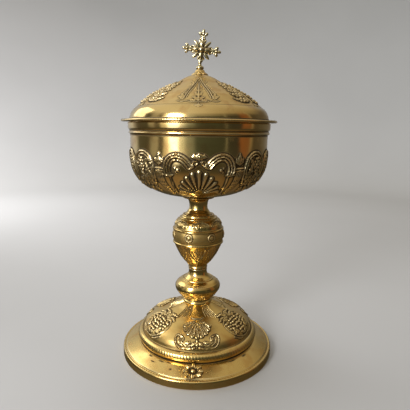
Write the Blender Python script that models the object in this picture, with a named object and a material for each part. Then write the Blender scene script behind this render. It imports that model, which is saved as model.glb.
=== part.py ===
"""Covered ciborium of gilt metal: a chased round foot, a knopped stem, a hollow cup and a lid with a cross.

Every piece is built about the vertical axis, in metres, standing on Z = 0 with its front towards -Y.
The chased bands are triangulated along the lines of their own ornament, so few faces carry it.
"""
import math
from dataclasses import dataclass

import bmesh
import bpy
from mathutils import Matrix, Vector
from mathutils.geometry import delaunay_2d_cdt

MM = 0.001

# Foot
FOOT_RADIUS = 72.6 * MM
FOOT_HEIGHT = 47.6 * MM
FOOT_WALL = 1.2 * MM
FOOT_BAND = 6.0 * MM          # the plain upright band that stands on the table
EDGE_BEAD_WIDTH = 3.2 * MM    # the rounded edge between the band and the slope
EDGE_BEAD_RISE = 1.4 * MM
SLOPE_LIFT = 2.0 * MM         # from the band's top to the slope's outer edge
SLOPE_RISE = 5.8 * MM         # the smooth slope between the edge and the step
STEP_RADIUS = 57.6 * MM       # the corded step that carries the dome
STEP_HEIGHT = 9.6 * MM
STEP_UNDERCUT = 1.9 * MM
GROOVE_WIDTH = 0.6 * MM       # between the step and the dome
DOME_RADIUS = 52.6 * MM
FOOT_NECK_RADIUS = 12.9 * MM
FOOT_RELIEF = 1.5 * MM

# Rosette applied to the slope
ROSETTE_HALF_WIDTH = 8.6 * MM
ROSETTE_THICKNESS = 2.0 * MM
ROSETTE_SIDE_GAP = 0.7 * MM   # between its inner petal and the step
ROSETTE_OVERHANG = 1.0 * MM   # of its outer petal, past the slope's outer edge
ROSETTE_LIFT = 0.3 * MM       # for the slope's swell under the flat back
ROSETTE_PETALS = 8

# Lower knop
LOWER_KNOP_RADIUS = 21.8 * MM
LOWER_KNOP_HEIGHT = 34.1 * MM
COLLAR_RADIUS = 14.3 * MM
STEM_RADIUS = 8.7 * MM        # the thinnest part of the stem

# Knop
KNOP_RADIUS = 24.2 * MM
KNOP_HEIGHT = 55.3 * MM
KNOP_RELIEF = 0.8 * MM
KNOP_RING = 0.9 * MM          # half the width of its raised rings
KNOP_TURN = math.radians(6.0)
# Shares of the knop's outline, from below: its leaves, its belt and the rings above it
LEAVES_START, BELT_START, BELT_END, TOP_RING, CROWN = 0.05, 0.445, 0.645, 0.83, 0.93

# Neck under the cup
NECK_HEIGHT = 14.8 * MM
NECK_DISC_RADIUS = 14.6 * MM

# Cup
CUP_RADIUS = 62.0 * MM
CUP_WALL = 1.1 * MM
BOWL_DEPTH = 42.0 * MM        # the curved lower part of the cup
BOWL_FULLNESS = 2.6           # exponent of the bowl's superellipse: 2 is a half ellipse
BOWL_START = math.radians(8)  # where its curve leaves the flat middle, outside and inside
BOWL_INNER_START = math.radians(11.5)
UPRIGHT_WALL = 14.0 * MM      # the plain upright wall above it
CUP_RIM_HEIGHT = 10.6 * MM
CUP_RIM_FLARE = 2.2 * MM
CUP_RELIEF = 1.1 * MM
BOWL_PLAIN_SHARE = 0.39       # share of the bowl's curve, from below, that stays plain
CUP_RELIEF_CLIMB = 3.5 * MM   # how far the ornament climbs the upright wall
STRAP_ANGLE = math.radians(31)
VINE_ANGLE = math.radians(48.3)

# Lid
FLANGE_RADIUS = 69.9 * MM
FLANGE_THICKNESS = 2.1 * MM
LID_RADIUS = 62.4 * MM
LID_HEIGHT = 45.5 * MM
LID_WALL = 1.1 * MM
LID_TIP_RADIUS = 7.5 * MM     # the leafy tip under the cross
LID_TIP_HEIGHT = 4.5 * MM
LID_SEAT_DEPTH = 5.0 * MM     # the inner rim that keeps the lid in place
LID_PLAY = 0.5 * MM           # radial play of that rim in the cup
LID_RELIEF = 1.2 * MM
LID_PLAIN_SHARE = 0.235       # share of the dome's curve, from below, that stays plain
LID_BAND_END = 0.9            # and where its ornament ends
LID_VINE_ANGLE = math.radians(46.5)

# Cross
CROSS_ARM = 17.4 * MM
CROSS_LOWER_ARM = 11.0 * MM
CROSS_RAY = 10.6 * MM
CROSS_EDGE = 0.8 * MM         # half its thickness at the edges
CROSS_RIDGE = 1.5 * MM        # half its thickness along the arms
CROSS_PEARL = 2.3 * MM
CROSS_STALK = 1.2 * MM        # half the width of the lower arm where it meets the neck
CROSS_LEAN = math.radians(6.5)
FINIAL_KNOB_RADIUS = 3.6 * MM
FINIAL_KNOB_HEIGHT = 3.6 * MM
FINIAL_NECK_RADIUS = 1.5 * MM
FINIAL_NECK_HEIGHT = 2.3 * MM
FINIAL_JOIN = 1.5 * MM        # how far the neck reaches into the cross

# Pieces that touch keep this gap
GAP = 0.3 * MM

# Around the axis: three shells with cartouches between them on the foot, cup and lid
SHELLS = 3
HALF_SHARE = math.pi / SHELLS
HALF_SHARE_COLUMNS = 6
SEGMENTS = 2 * SHELLS * HALF_SHARE_COLUMNS
KNOP_BOSSES = 7
HALF_BOSS = math.pi / KNOP_BOSSES
HALF_BOSS_COLUMNS = 2
STEM_SEGMENTS = 2 * KNOP_BOSSES * HALF_BOSS_COLUMNS
CURVE_STEPS = 24              # of the bowl's curve
BAND_STEPS = 12               # and of a chased band's outline
WELD = 0.002 * MM
MARK_SPACING = 1.6 * MM       # least distance between two points of the ornament
FILL_SPACING = 7.2 * MM       # and from the plain ground's points to any other
EDGE_SHARE = 0.7              # a point nearer to an edge than this share of its spacing goes onto it
RELIEF_FADE = 2.0 * MM
SHARP_ANGLE = math.radians(40)

# Heights at which the pieces stand
LOWER_KNOP_Z = FOOT_HEIGHT + GAP
KNOP_Z = LOWER_KNOP_Z + LOWER_KNOP_HEIGHT + GAP
NECK_Z = KNOP_Z + KNOP_HEIGHT + GAP
CUP_Z = NECK_Z + NECK_HEIGHT + GAP
BOWL_TOP_Z = CUP_Z + BOWL_DEPTH
CUP_TOP_Z = BOWL_TOP_Z + UPRIGHT_WALL + CUP_RIM_HEIGHT
LID_Z = CUP_TOP_Z + GAP
FINIAL_Z = LID_Z + LID_HEIGHT + GAP
FINIAL_NECK_Z = FINIAL_Z + FINIAL_KNOB_HEIGHT + FINIAL_NECK_HEIGHT / 2
CROSS_Z = FINIAL_Z + FINIAL_KNOB_HEIGHT + FINIAL_NECK_HEIGHT + CROSS_LOWER_ARM


# Outlines

def smooth(points, steps):
    """Points on a Catmull-Rom curve through these, with this many steps between each two."""
    ends = [points[0]] + list(points) + [points[-1]]
    found = []
    for before, start, end, after in zip(ends, ends[1:], ends[2:], ends[3:]):
        for step in range(steps):
            t = step / steps
            found.append(tuple(
                b + 0.5 * t * (c - a + t * (2 * a - 5 * b + 4 * c - d + t * (3 * b - a - 3 * c + d)))
                for a, b, c, d in zip(before, start, end, after)
            ))
    return found + [tuple(points[-1])]


def between(start, end, shares):
    """Turns shares (0 to 1 across and up) into points of the box from start to end."""
    return [
        (start[0] + (end[0] - start[0]) * across, start[1] + (end[1] - start[1]) * up)
        for across, up in shares
    ]


class Outline:
    """A turned outline, as radius and height along its own length from its first point."""

    def __init__(self, points):
        self.points = [Vector(point) for point in points]
        self.stations = [0.0]
        for start, end in zip(self.points, self.points[1:]):
            self.stations.append(self.stations[-1] + (end - start).length)
        self.length = self.stations[-1]

    def span(self, along):
        """The stretch that holds this length, and how far along it that is."""
        for index in range(len(self.points) - 2):
            if along < self.stations[index + 1]:
                break
        else:
            index = len(self.points) - 2
        run = self.stations[index + 1] - self.stations[index]
        return index, (along - self.stations[index]) / run

    def at(self, along):
        index, share = self.span(along)
        return self.points[index].lerp(self.points[index + 1], share)

    def radius(self, along):
        return self.at(along).x

    def normal(self, along):
        """Points away from the axis and up, at right angles to the outline as it climbs."""
        step = self.length / 200
        run = self.at(min(along + step, self.length)) - self.at(max(along - step, 0))
        return Vector((run.y, -run.x)).normalized()


def inward(outline, wall, shares):
    """Points of the outline at these shares of its length, moved in by the wall."""
    found = []
    for share in shares:
        along = share * outline.length
        point = outline.at(along) - outline.normal(along) * wall
        found.append((point.x, point.y))
    return found


# Ornament, drawn in millimetres across and up from its own axis, and then fitted to its band

@dataclass
class Line:
    """A raised line through some points, which may widen or narrow from its start to its end."""

    points: list
    width: float
    end_width: float = 0.0
    rise: float = 1.0

    def scaled(self, unit):
        points = [Vector((x * unit, y * unit)) for x, y in self.points]
        return Line(points, self.width * unit, (self.end_width or self.width) * unit, self.rise)

    def mirrored(self):
        return Line([(-x, y) for x, y in self.points], self.width, self.end_width, self.rise)

    def half_width(self, share):
        return (self.width + ((self.end_width or self.width) - self.width) * share) / 2

    def height(self, place):
        """Share of the full relief at a place: its rise on the crest, nothing beyond its edge."""
        best = 0.0
        last = len(self.points) - 1
        for index in range(last):
            start, end = self.points[index], self.points[index + 1]
            run = end - start
            share = max(0.0, min(1.0, (place - start).dot(run) / run.length_squared))
            away = (place - start - run * share).length / self.half_width((index + share) / last)
            best = max(best, self.rise * (1 - away ** 2))
        return best

    def marks(self):
        """The crest and the two edges, as rows of points."""
        last = len(self.points) - 1
        lefts, rights = [], []
        for index, point in enumerate(self.points):
            run = self.points[min(index + 1, last)] - self.points[max(index - 1, 0)]
            aside = Vector((-run.y, run.x)).normalized() * self.half_width(index / last)
            lefts.append(point - aside)
            rights.append(point + aside)
        return [self.points, lefts, rights]


@dataclass
class Boss:
    """A round raised drop, such as a pearl or a grape."""

    x: float
    y: float
    size: float
    rise: float = 1.0

    def scaled(self, unit):
        return Boss(self.x * unit, self.y * unit, self.size * unit, self.rise)

    def mirrored(self):
        return Boss(-self.x, self.y, self.size, self.rise)

    def height(self, place):
        away = (place - Vector((self.x, self.y))).length / self.size
        return self.rise * max(0.0, 1 - away ** 2)

    def marks(self):
        """The top, and the rim as five points."""
        centre = Vector((self.x, self.y))
        turns = [math.tau * step / 5 for step in range(6)]
        rim = [centre + Vector((math.sin(turn), math.cos(turn))) * self.size for turn in turns]
        return [[centre], rim]


def arc(x, y, size, start, end, steps):
    """Points on part of a circle, from one angle to another in degrees, from the right anticlockwise."""
    turns = [math.radians(start + (end - start) * step / steps) for step in range(steps + 1)]
    return [(x + size * math.cos(turn), y + size * math.sin(turn)) for turn in turns]


def both_sides(shapes):
    """These shapes and their mirror images."""
    return shapes + [shape.mirrored() for shape in shapes]


def fan(foot, reach, side_reach, ribs, spread, facing):
    """A shell's ribs, which open up (facing 1) or down (facing -1) and are shorter towards its sides."""
    made = []
    for rib in range(ribs):
        aside = 2 * rib / (ribs - 1) - 1
        turn = math.radians(spread) * aside
        length = reach + (side_reach - reach) * abs(aside) ** 1.5
        gap = 2 * math.radians(spread) / (ribs - 1)
        reaches = (0.36 * length, length)
        ends = [(math.sin(turn) * far, foot + facing * math.cos(turn) * far) for far in reaches]
        made.append(Line(ends, reaches[0] * gap, reaches[1] * gap))
    return made


CUP_DRAWN = 46.0


def cup_shell():
    """A shell under two volutes and a small flower, between two scrolled arches."""
    side = [
        Line(arc(18.8, 32.0, 9.4, 170, -25, 5), 3.4),
        Line(arc(18.8, 31.0, 4.6, 180, 0, 3), 3.2, rise=0.8),
        Line([(27.0, 29.0), (25.6, 20.0), (20.0, 8.0)], 2.8, 2.0, 0.8),
        Boss(3.2, 34.2, 2.6),
    ]
    return both_sides(side) + fan(4, 25, 17, 9, 70, 1) + [Boss(0, 40.0, 3.0)]


def cup_strap():
    """A fluted strap that rises to a bud."""
    side = [Line([(2.2, 27), (1.2, 6)], 2.8, 1.6)]
    return both_sides(side) + [Line([(0, 42), (0, 36), (0, 30)], 3.0, 5.4)]


def cup_vine():
    """A round-headed frame that holds grapes, with two leaves that hang below it."""
    grapes = [Boss(0, 32.5, 3.0), Boss(-3.6, 26.8, 2.9), Boss(3.6, 26.8, 2.9), Boss(0, 21.2, 2.9)]
    side = [
        Line(arc(0, 31, 11.2, 90, -22, 4), 3.2),
        Line([(1.5, 16.5), (6.0, 13.5), (8.0, 7.5)], 5.0, 2.0, 0.8),
    ]
    return grapes + both_sides(side)


FOOT_DRAWN = 50.0


def foot_shell():
    """A shell that opens downwards over two scrolls, under a smooth panel on the neck."""
    side = [
        Line([(0.8, 7), (8, 3), (16, 3.6), (20, 10), (16.5, 18)], 3.6),
        Line([(6.5, 41), (8.5, 36), (13.5, 31)], 1.8, 2.6, 0.8),
        Boss(13.0, 9.2, 2.6),
    ]
    return both_sides(side) + fan(30, 21, 16.5, 7, 60, -1) + [Boss(0, 3.4, 2.8)]


def foot_vine():
    """An oval frame that holds grapes, with pearls above it."""
    frame = [(13.2 * x / 10, 14.6 + 10.8 * (y / 10)) for x, y in arc(0, 0, 10, 0, 360, 10)]
    grapes = [Boss(0, 14.6, 3.2)] + [
        Boss(x * 1.1, y, 2.9) for x, y in arc(0, 14.6, 5.6, 90, 450, 5)[:-1]
    ]
    return grapes + [Line(frame, 3.0), Boss(0, 31.5, 2.2, 0.8)]


LID_DRAWN = 45.0


def lid_shell():
    """A tall plain fan under the cross."""
    side = [
        Line([(1.6, 41), (6.4, 22), (11.4, 5)], 2.2, 3.2),
        Line([(2.0, 20), (4.4, 6)], 2.0, 3.6, 0.8),
    ]
    return both_sides(side)


def lid_vine():
    """A pear-shaped frame that holds fruit, which stands out the most."""
    side = [
        Line([(0, 35), (5.2, 27.5), (9.4, 19), (10.6, 11), (6.6, 4), (0, 2.6)], 3.0),
        Boss(4.4, 9.6, 3.0),
    ]
    return both_sides(side) + [Boss(0, 15.6, 3.4), Boss(0, 23.0, 2.9), Boss(0, 29.0, 2.2)]


BELT_DRAWN = 12.4


def knop_boss():
    """One ringed boss of the belt."""
    return [Boss(0, 6.2, 4.0)]


LEAF_DRAWN = 26.0


def knop_leaf():
    """The meeting edges of two long leaves."""
    return both_sides([Line([(0.6, 3.5), (3.2, 11.5), (8.0, 21.5)], 2.2, 2.6)])


# Meshes

def on_surface(angle, radius, height):
    """A point at this angle from the front, turning towards +X."""
    return Vector((radius * math.sin(angle), -radius * math.cos(angle), height))


def add_rings(mesh, points, segments):
    """Adds the faces turned by these points: a first or last point on the axis closes the end."""
    rings = []
    for radius, height in points:
        count = segments if radius > WELD else 1
        angles = [math.tau * step / segments for step in range(count)]
        rings.append([mesh.verts.new(on_surface(angle, radius, height)) for angle in angles])
    for lower, upper in zip(rings, rings[1:]):
        for step in range(segments):
            after = (step + 1) % segments
            corners = [lower[step % len(lower)], lower[after % len(lower)],
                       upper[after % len(upper)], upper[step % len(upper)]]
            mesh.faces.new(list(dict.fromkeys(corners)))


@dataclass
class ChasedBand:
    """A band round the axis whose faces follow its ornament.

    Half of one share of the ornament is triangulated, from the angle 0 to half_turn, and is then mirrored
    and repeated. Each motif is the angle of its axis and its shapes, drawn for a band of the height in drawn.
    """

    outline: Outline
    motifs: list
    drawn: float
    relief: float
    half_turn: float
    copies: int
    columns: int
    rows: int

    def __post_init__(self):
        unit = self.outline.length / self.drawn
        self.motifs = [(axis, [shape.scaled(unit) for shape in shapes]) for axis, shapes in self.motifs]
        self.flat_radius = self.outline.radius(self.outline.length / 2)
        self.points = []

    def height(self, angle, along):
        """Height of the relief, which fades out at the band's lower and upper ends."""
        best = 0.0
        for axis, shapes in self.motifs:
            place = Vector((self.outline.radius(along) * (angle - axis), along))
            best = max([best] + [shape.height(place) for shape in shapes])
        ends = min(along, self.outline.length - along)
        return self.relief * best * min(1.0, ends / RELIEF_FADE)

    def nearest(self, angle, along):
        """The distance to the nearest point so far, and its index."""
        radius = self.outline.radius(along)
        found = [(math.hypot((other[0] - angle) * radius, other[1] - along), index)
                 for index, other in enumerate(self.points)]
        return min(found, default=(math.inf, None))

    def add(self, angle, along, spacing):
        """The index of a new point here, or of the one that is already nearer than the spacing."""
        margin = spacing * EDGE_SHARE
        for side in (0.0, self.half_turn):
            if abs(angle - side) * self.outline.radius(along) < margin:
                angle = side
        if not (0 <= angle <= self.half_turn and margin < along < self.outline.length - margin):
            return None
        distance, index = self.nearest(angle, along)
        if distance < spacing:
            return index
        self.points.append((angle, along))
        return len(self.points) - 1

    def triangles(self):
        """The flat points of the half share, and its triangles."""
        angles = [self.half_turn * step / self.columns for step in range(self.columns + 1)]
        for end in (0.0, self.outline.length):
            self.points += [(angle, end) for angle in angles]
        edges = []
        for axis, shapes in self.motifs:
            for row in (row for shape in shapes for row in shape.marks()):
                before = None
                for mark in row:
                    along = min(max(mark.y, 0.0), self.outline.length)
                    here = self.add(axis + mark.x / self.outline.radius(along), mark.y, MARK_SPACING)
                    if None not in (before, here) and before != here:
                        edges.append((before, here))
                    before = here
        for row in range(1, self.rows):
            for angle in angles:
                self.add(angle, self.outline.length * row / self.rows, FILL_SPACING)
        flat = [Vector((angle * self.flat_radius, along)) for angle, along in self.points]
        found, _, faces, *_ = delaunay_2d_cdt(flat, edges, [], 0, WELD * 0.1, True)
        return found, faces

    def add_to(self, mesh):
        """Adds every share, each with its mirror image, to a mesh."""
        found, faces = self.triangles()
        for copy in range(self.copies):
            middle = 2 * self.half_turn * copy
            for side in (1, -1):
                made = []
                for corner in found:
                    angle, along = corner.x / self.flat_radius, corner.y
                    place = self.outline.at(along) + self.outline.normal(along) * self.height(angle, along)
                    made.append(mesh.verts.new(on_surface(middle + side * angle, *place)))
                for face in faces:
                    mesh.faces.new([made[index] for index in face][::side])


def finished(mesh, name, finish):
    """Welds and closes a mesh, faces it outwards and makes it a named object."""
    bmesh.ops.remove_doubles(mesh, verts=mesh.verts, dist=WELD)
    bmesh.ops.triangulate(mesh, faces=[face for face in mesh.faces if len(face.verts) > 4])
    bmesh.ops.recalc_face_normals(mesh, faces=mesh.faces)
    if mesh.calc_volume(signed=True) < 0:
        bmesh.ops.reverse_faces(mesh, faces=mesh.faces)
    data = bpy.data.meshes.new(name)
    mesh.to_mesh(data)
    mesh.free()
    data.shade_smooth()
    data.set_sharp_from_angle(angle=SHARP_ANGLE)
    data.materials.append(finish)
    made = bpy.data.objects.new(name, data)
    bpy.context.collection.objects.link(made)
    return made


def gilt(name, colour, roughness):
    """A plain gilt metal."""
    finish = bpy.data.materials.new(name)
    finish.use_nodes = True
    shader = finish.node_tree.nodes["Principled BSDF"]
    shader.inputs["Base Color"].default_value = (*colour, 1)
    shader.inputs["Metallic"].default_value = 1
    shader.inputs["Roughness"].default_value = roughness
    finish.diffuse_color = (*colour, 1)
    return finish


# Pieces

SLOPE_START_Z = FOOT_BAND + SLOPE_LIFT
STEP_Z = SLOPE_START_Z + SLOPE_RISE
GROOVE_Z = STEP_Z + STEP_HEIGHT
STEP_FOOT_RADIUS = STEP_RADIUS - STEP_UNDERCUT
SLOPE_OUTER_RADIUS = FOOT_RADIUS - EDGE_BEAD_WIDTH


def slope_height(radius):
    """Height of the foot's smooth slope at a radius: it eases out towards the step."""
    share = (SLOPE_OUTER_RADIUS - radius) / (SLOPE_OUTER_RADIUS - STEP_FOOT_RADIUS)
    return SLOPE_START_Z + SLOPE_RISE * share ** 0.9


def dome_outline():
    """The foot's dome, from the groove up its hollow neck."""
    low, high = (DOME_RADIUS, GROOVE_Z), (FOOT_NECK_RADIUS, FOOT_HEIGHT)
    shares = [(0.0, 0.05), (0.012, 0.135), (0.06, 0.265), (0.166, 0.405), (0.317, 0.545),
              (0.494, 0.657), (0.657, 0.752), (0.796, 0.847), (0.897, 0.93), (0.965, 0.985)]
    return Outline(smooth(between(low, high, shares), 2))


def make_foot(finish):
    """The hollow foot: an upright band, a smooth slope, a step and a chased dome that rises to a neck."""
    mesh = bmesh.new()
    dome = dome_outline()
    bead = between((FOOT_RADIUS, FOOT_BAND), (SLOPE_OUTER_RADIUS, FOOT_BAND + EDGE_BEAD_RISE),
                   [(0.06, 0.0), (0.28, 1.0), (0.75, 0.71)])
    slope_middle = (SLOPE_OUTER_RADIUS + STEP_FOOT_RADIUS) / 2
    slope_radii = (SLOPE_OUTER_RADIUS, slope_middle, STEP_FOOT_RADIUS)
    slope = [(radius, slope_height(radius)) for radius in slope_radii]
    step = between((STEP_FOOT_RADIUS, STEP_Z), (STEP_RADIUS, GROOVE_Z),
                   [(0.85, 0.22), (1.0, 0.5), (0.75, 0.74), (-0.1, 0.94)])
    groove = [(DOME_RADIUS + GROOVE_WIDTH, GROOVE_Z), (dome.points[0].x, dome.points[0].y)]
    outside = [(FOOT_RADIUS, 0)] + bead + slope + step + groove
    add_rings(mesh, outside, SEGMENTS)
    motifs = [(0, foot_shell()), (HALF_SHARE, foot_vine())]
    share = (HALF_SHARE, SHELLS, HALF_SHARE_COLUMNS)
    ChasedBand(dome, motifs, FOOT_DRAWN, FOOT_RELIEF, *share, 7).add_to(mesh)
    top = [(dome.points[-1].x, dome.points[-1].y), (FOOT_NECK_RADIUS, FOOT_HEIGHT),
           (FOOT_NECK_RADIUS - FOOT_WALL, FOOT_HEIGHT)]
    add_rings(mesh, top, SEGMENTS)
    hollow = inward(dome, FOOT_WALL, [0.88, 0.55, 0.22, 0.02])
    under_step = [(STEP_FOOT_RADIUS - FOOT_WALL, STEP_Z - FOOT_WALL / 2),
                  (SLOPE_OUTER_RADIUS - FOOT_WALL, SLOPE_START_Z - FOOT_WALL),
                  (FOOT_RADIUS - FOOT_WALL, FOOT_BAND - FOOT_WALL), (FOOT_RADIUS - FOOT_WALL, 0),
                  (FOOT_RADIUS, 0)]
    add_rings(mesh, [top[-1]] + hollow + under_step, SEGMENTS)
    return finished(mesh, "foot", finish)


def make_rosette(finish):
    """A cast flower of pointed petals, laid on the slope at the front."""
    inner = STEP_FOOT_RADIUS + ROSETTE_SIDE_GAP
    half_depth = (SLOPE_OUTER_RADIUS + ROSETTE_OVERHANG - inner) / 2
    middle = inner + half_depth
    fall = math.atan2(slope_height(inner) - SLOPE_START_Z, SLOPE_OUTER_RADIUS - inner)
    steps = 2 * ROSETTE_PETALS
    # Each ring is how far out its petal tips and its notches lie, and how high they rise.
    rings = [(1.0, 0.84, 0.0, 0.0), (1.0, 0.84, 0.28, 0.28), (0.6, 0.48, 0.62, 0.4),
             (0.36, 0.36, 0.34, 0.3), (0.24, 0.24, 0.9, 0.9)]
    mesh = bmesh.new()
    made = []
    for tip_reach, notch_reach, tip_rise, notch_rise in rings:
        ring = []
        for step in range(steps):
            turn = math.tau * step / steps
            reach, rise = (tip_reach, tip_rise) if step % 2 == 0 else (notch_reach, notch_rise)
            ring.append(mesh.verts.new((
                ROSETTE_HALF_WIDTH * reach * math.sin(turn),
                half_depth * reach * math.cos(turn),
                ROSETTE_THICKNESS * rise,
            )))
        made.append(ring)
    top = mesh.verts.new((0, 0, ROSETTE_THICKNESS))
    for step in range(steps):
        after = (step + 1) % steps
        for lower, upper in zip(made, made[1:]):
            mesh.faces.new((lower[step], lower[after], upper[after], upper[step]))
        mesh.faces.new((made[-1][step], made[-1][after], top))
    mesh.faces.new(reversed(made[0]))
    chord = slope_height(inner) - (middle - inner) * math.tan(fall)
    place = Matrix.Translation((0, -middle, chord + GAP + ROSETTE_LIFT)) @ Matrix.Rotation(fall, 4, "X")
    bmesh.ops.transform(mesh, matrix=place, verts=mesh.verts)
    return finished(mesh, "foot_rosette", finish)


def make_lower_knop(finish):
    """A collar, a hollow moulding and a flattened bulb, which narrow to the stem."""
    low, high = LOWER_KNOP_Z, LOWER_KNOP_Z + LOWER_KNOP_HEIGHT
    collar = between((0, low), (COLLAR_RADIUS, high),
                     [(0.0, 0.0), (0.95, 0.0), (1.0, 0.05), (0.875, 0.12), (1.03, 0.2)])
    bulb = between((COLLAR_RADIUS, low), (LOWER_KNOP_RADIUS, high),
                   [(0.55, 0.29), (0.9, 0.39), (1.0, 0.49), (0.85, 0.58), (0.5, 0.655), (0.06, 0.7)])
    taper = between((STEM_RADIUS, low), (COLLAR_RADIUS, high),
                    [(0.6, 0.745), (0.22, 0.82), (0.0, 0.91), (0.0, 1.0)])
    mesh = bmesh.new()
    add_rings(mesh, collar + bulb + taper + [(0, high)], STEM_SEGMENTS)
    return finished(mesh, "lower_knop", finish)


def knop_outline():
    """The egg-shaped knop, from its foot to its top."""
    shares = [(0.0, 0.0), (0.03, 0.055), (0.3, 0.147), (0.52, 0.24), (0.68, 0.33), (0.81, 0.423),
              (0.945, 0.48), (0.985, 0.556), (1.0, 0.66), (0.95, 0.745), (0.86, 0.815), (0.64, 0.885),
              (0.41, 0.945), (0.17, 1.0)]
    return Outline(between((STEM_RADIUS, KNOP_Z), (KNOP_RADIUS, KNOP_Z + KNOP_HEIGHT), shares))


def make_knop(finish):
    """The main knop: long leaves below, a belt of ringed bosses between two beads, and a ringed top."""
    whole = knop_outline()
    mesh = bmesh.new()

    def plain(start, end, count):
        """The outline's points over a stretch of its length."""
        return [tuple(whole.at(start + (end - start) * step / count)) for step in range(count + 1)]

    def ring(share):
        """Adds a thin raised ring at this share of the outline, and gives its lower and upper end."""
        along = share * whole.length
        low, high = along - KNOP_RING, along + KNOP_RING
        crest = whole.at(along) + whole.normal(along) * KNOP_RELIEF
        add_rings(mesh, [tuple(whole.at(low)), tuple(crest), tuple(whole.at(high))], STEM_SEGMENTS)
        return low, high

    share = (HALF_BOSS, KNOP_BOSSES, HALF_BOSS_COLUMNS)
    leaves_low = LEAVES_START * whole.length
    leaves_high, belt_low = ring(BELT_START)
    belt_high, shoulder_low = ring(BELT_END)
    shoulder_high, crown_low = ring(TOP_RING)
    add_rings(mesh, [(0, whole.points[0].y)] + plain(0, leaves_low, 1), STEM_SEGMENTS)
    leaves = Outline(plain(leaves_low, leaves_high, 8))
    ChasedBand(leaves, [(HALF_BOSS, knop_leaf())], LEAF_DRAWN, KNOP_RELIEF, *share, 4).add_to(mesh)
    belt = Outline(plain(belt_low, belt_high, 4))
    ChasedBand(belt, [(0, knop_boss())], BELT_DRAWN, KNOP_RELIEF, *share, 2).add_to(mesh)
    add_rings(mesh, plain(shoulder_low, shoulder_high, 3), STEM_SEGMENTS)
    crown = [tuple(whole.at(crown_low)), tuple(whole.at(CROWN * whole.length)),
             tuple(whole.points[-1]), (0, whole.points[-1].y)]
    add_rings(mesh, crown, STEM_SEGMENTS)
    bmesh.ops.rotate(mesh, cent=(0, 0, 0), matrix=Matrix.Rotation(-KNOP_TURN, 3, "Z"), verts=mesh.verts)
    return finished(mesh, "knop", finish)


def make_neck(finish):
    """The short stem under the cup, with the thin disc that the cup stands on."""
    top = NECK_Z + NECK_HEIGHT
    stem = between((STEM_RADIUS, NECK_Z), (NECK_DISC_RADIUS, top),
                   [(0.32, 0.0), (0.0, 0.3), (0.1, 0.7), (0.37, 0.85), (1.0, 0.93), (0.92, 1.0)])
    mesh = bmesh.new()
    add_rings(mesh, [(0, NECK_Z)] + stem + [(0, top)], STEM_SEGMENTS)
    return finished(mesh, "upper_neck", finish)


def bowl_curve(radius, depth, start):
    """A superellipse from near the bowl's bottom up to its upright wall, as an outline."""
    power = 2 / BOWL_FULLNESS
    points = []
    for step in range(CURVE_STEPS + 1):
        turn = start + (math.pi / 2 - start) * step / CURVE_STEPS
        across, down = math.sin(turn) ** power, max(math.cos(turn), 0.0) ** power
        points.append((radius * across, BOWL_TOP_Z - depth * down))
    return Outline(points)


def make_cup(finish):
    """The hollow cup: a plain upright wall over a bowl that is chased outside and smooth inside."""
    whole = bowl_curve(CUP_RADIUS, BOWL_DEPTH, BOWL_START)
    start = BOWL_PLAIN_SHARE * whole.length
    curve = [whole.at(start + (whole.length - start) * step / BAND_STEPS) for step in range(BAND_STEPS + 1)]
    band = Outline(curve + [Vector((CUP_RADIUS, BOWL_TOP_Z + CUP_RELIEF_CLIMB))])
    mesh = bmesh.new()
    underside = [(0, CUP_Z), (whole.points[0].x, CUP_Z), tuple(whole.at(start / 2)), tuple(curve[0])]
    add_rings(mesh, underside, SEGMENTS)
    motifs = [(0, cup_shell()), (STRAP_ANGLE, cup_strap()), (VINE_ANGLE, cup_vine())]
    share = (HALF_SHARE, SHELLS, HALF_SHARE_COLUMNS)
    ChasedBand(band, motifs, CUP_DRAWN, CUP_RELIEF, *share, 7).add_to(mesh)
    rim_low = BOWL_TOP_Z + UPRIGHT_WALL
    wall = [(CUP_RADIUS, band.points[-1].y), (CUP_RADIUS, rim_low)]
    rim = between((CUP_RADIUS, rim_low), (CUP_RADIUS + CUP_RIM_FLARE, CUP_TOP_Z),
                  [(0.62, 0.18), (0.3, 0.33), (0.8, 0.46), (1.0, 0.92), (0.7, 1.0)])
    add_rings(mesh, wall + rim + [(CUP_RADIUS - CUP_WALL, CUP_TOP_Z)], SEGMENTS)
    inside = bowl_curve(CUP_RADIUS - CUP_WALL, BOWL_DEPTH - CUP_WALL, BOWL_INNER_START)
    inner = [(CUP_RADIUS - CUP_WALL, CUP_TOP_Z)]
    inner += [tuple(inside.at(inside.length * share)) for share in (1.0, 0.78, 0.52, 0.0)]
    add_rings(mesh, inner + [(0, inside.points[0].y)], SEGMENTS)
    return finished(mesh, "cup", finish)


def lid_outline():
    """The lid's dome, from the flange up to the neck of its leafy tip."""
    base, top = LID_Z + FLANGE_THICKNESS, LID_Z + LID_HEIGHT - LID_TIP_HEIGHT
    neck = 0.83 * LID_TIP_RADIUS
    shares = [(0.0, 0.0), (0.021, 0.128), (0.06, 0.217), (0.19, 0.373), (0.336, 0.542), (0.491, 0.66),
              (0.658, 0.775), (0.817, 0.903), (0.884, 0.957), (1.0, 1.0)]
    return Outline(between((LID_RADIUS, base), (neck, top), shares))


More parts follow.
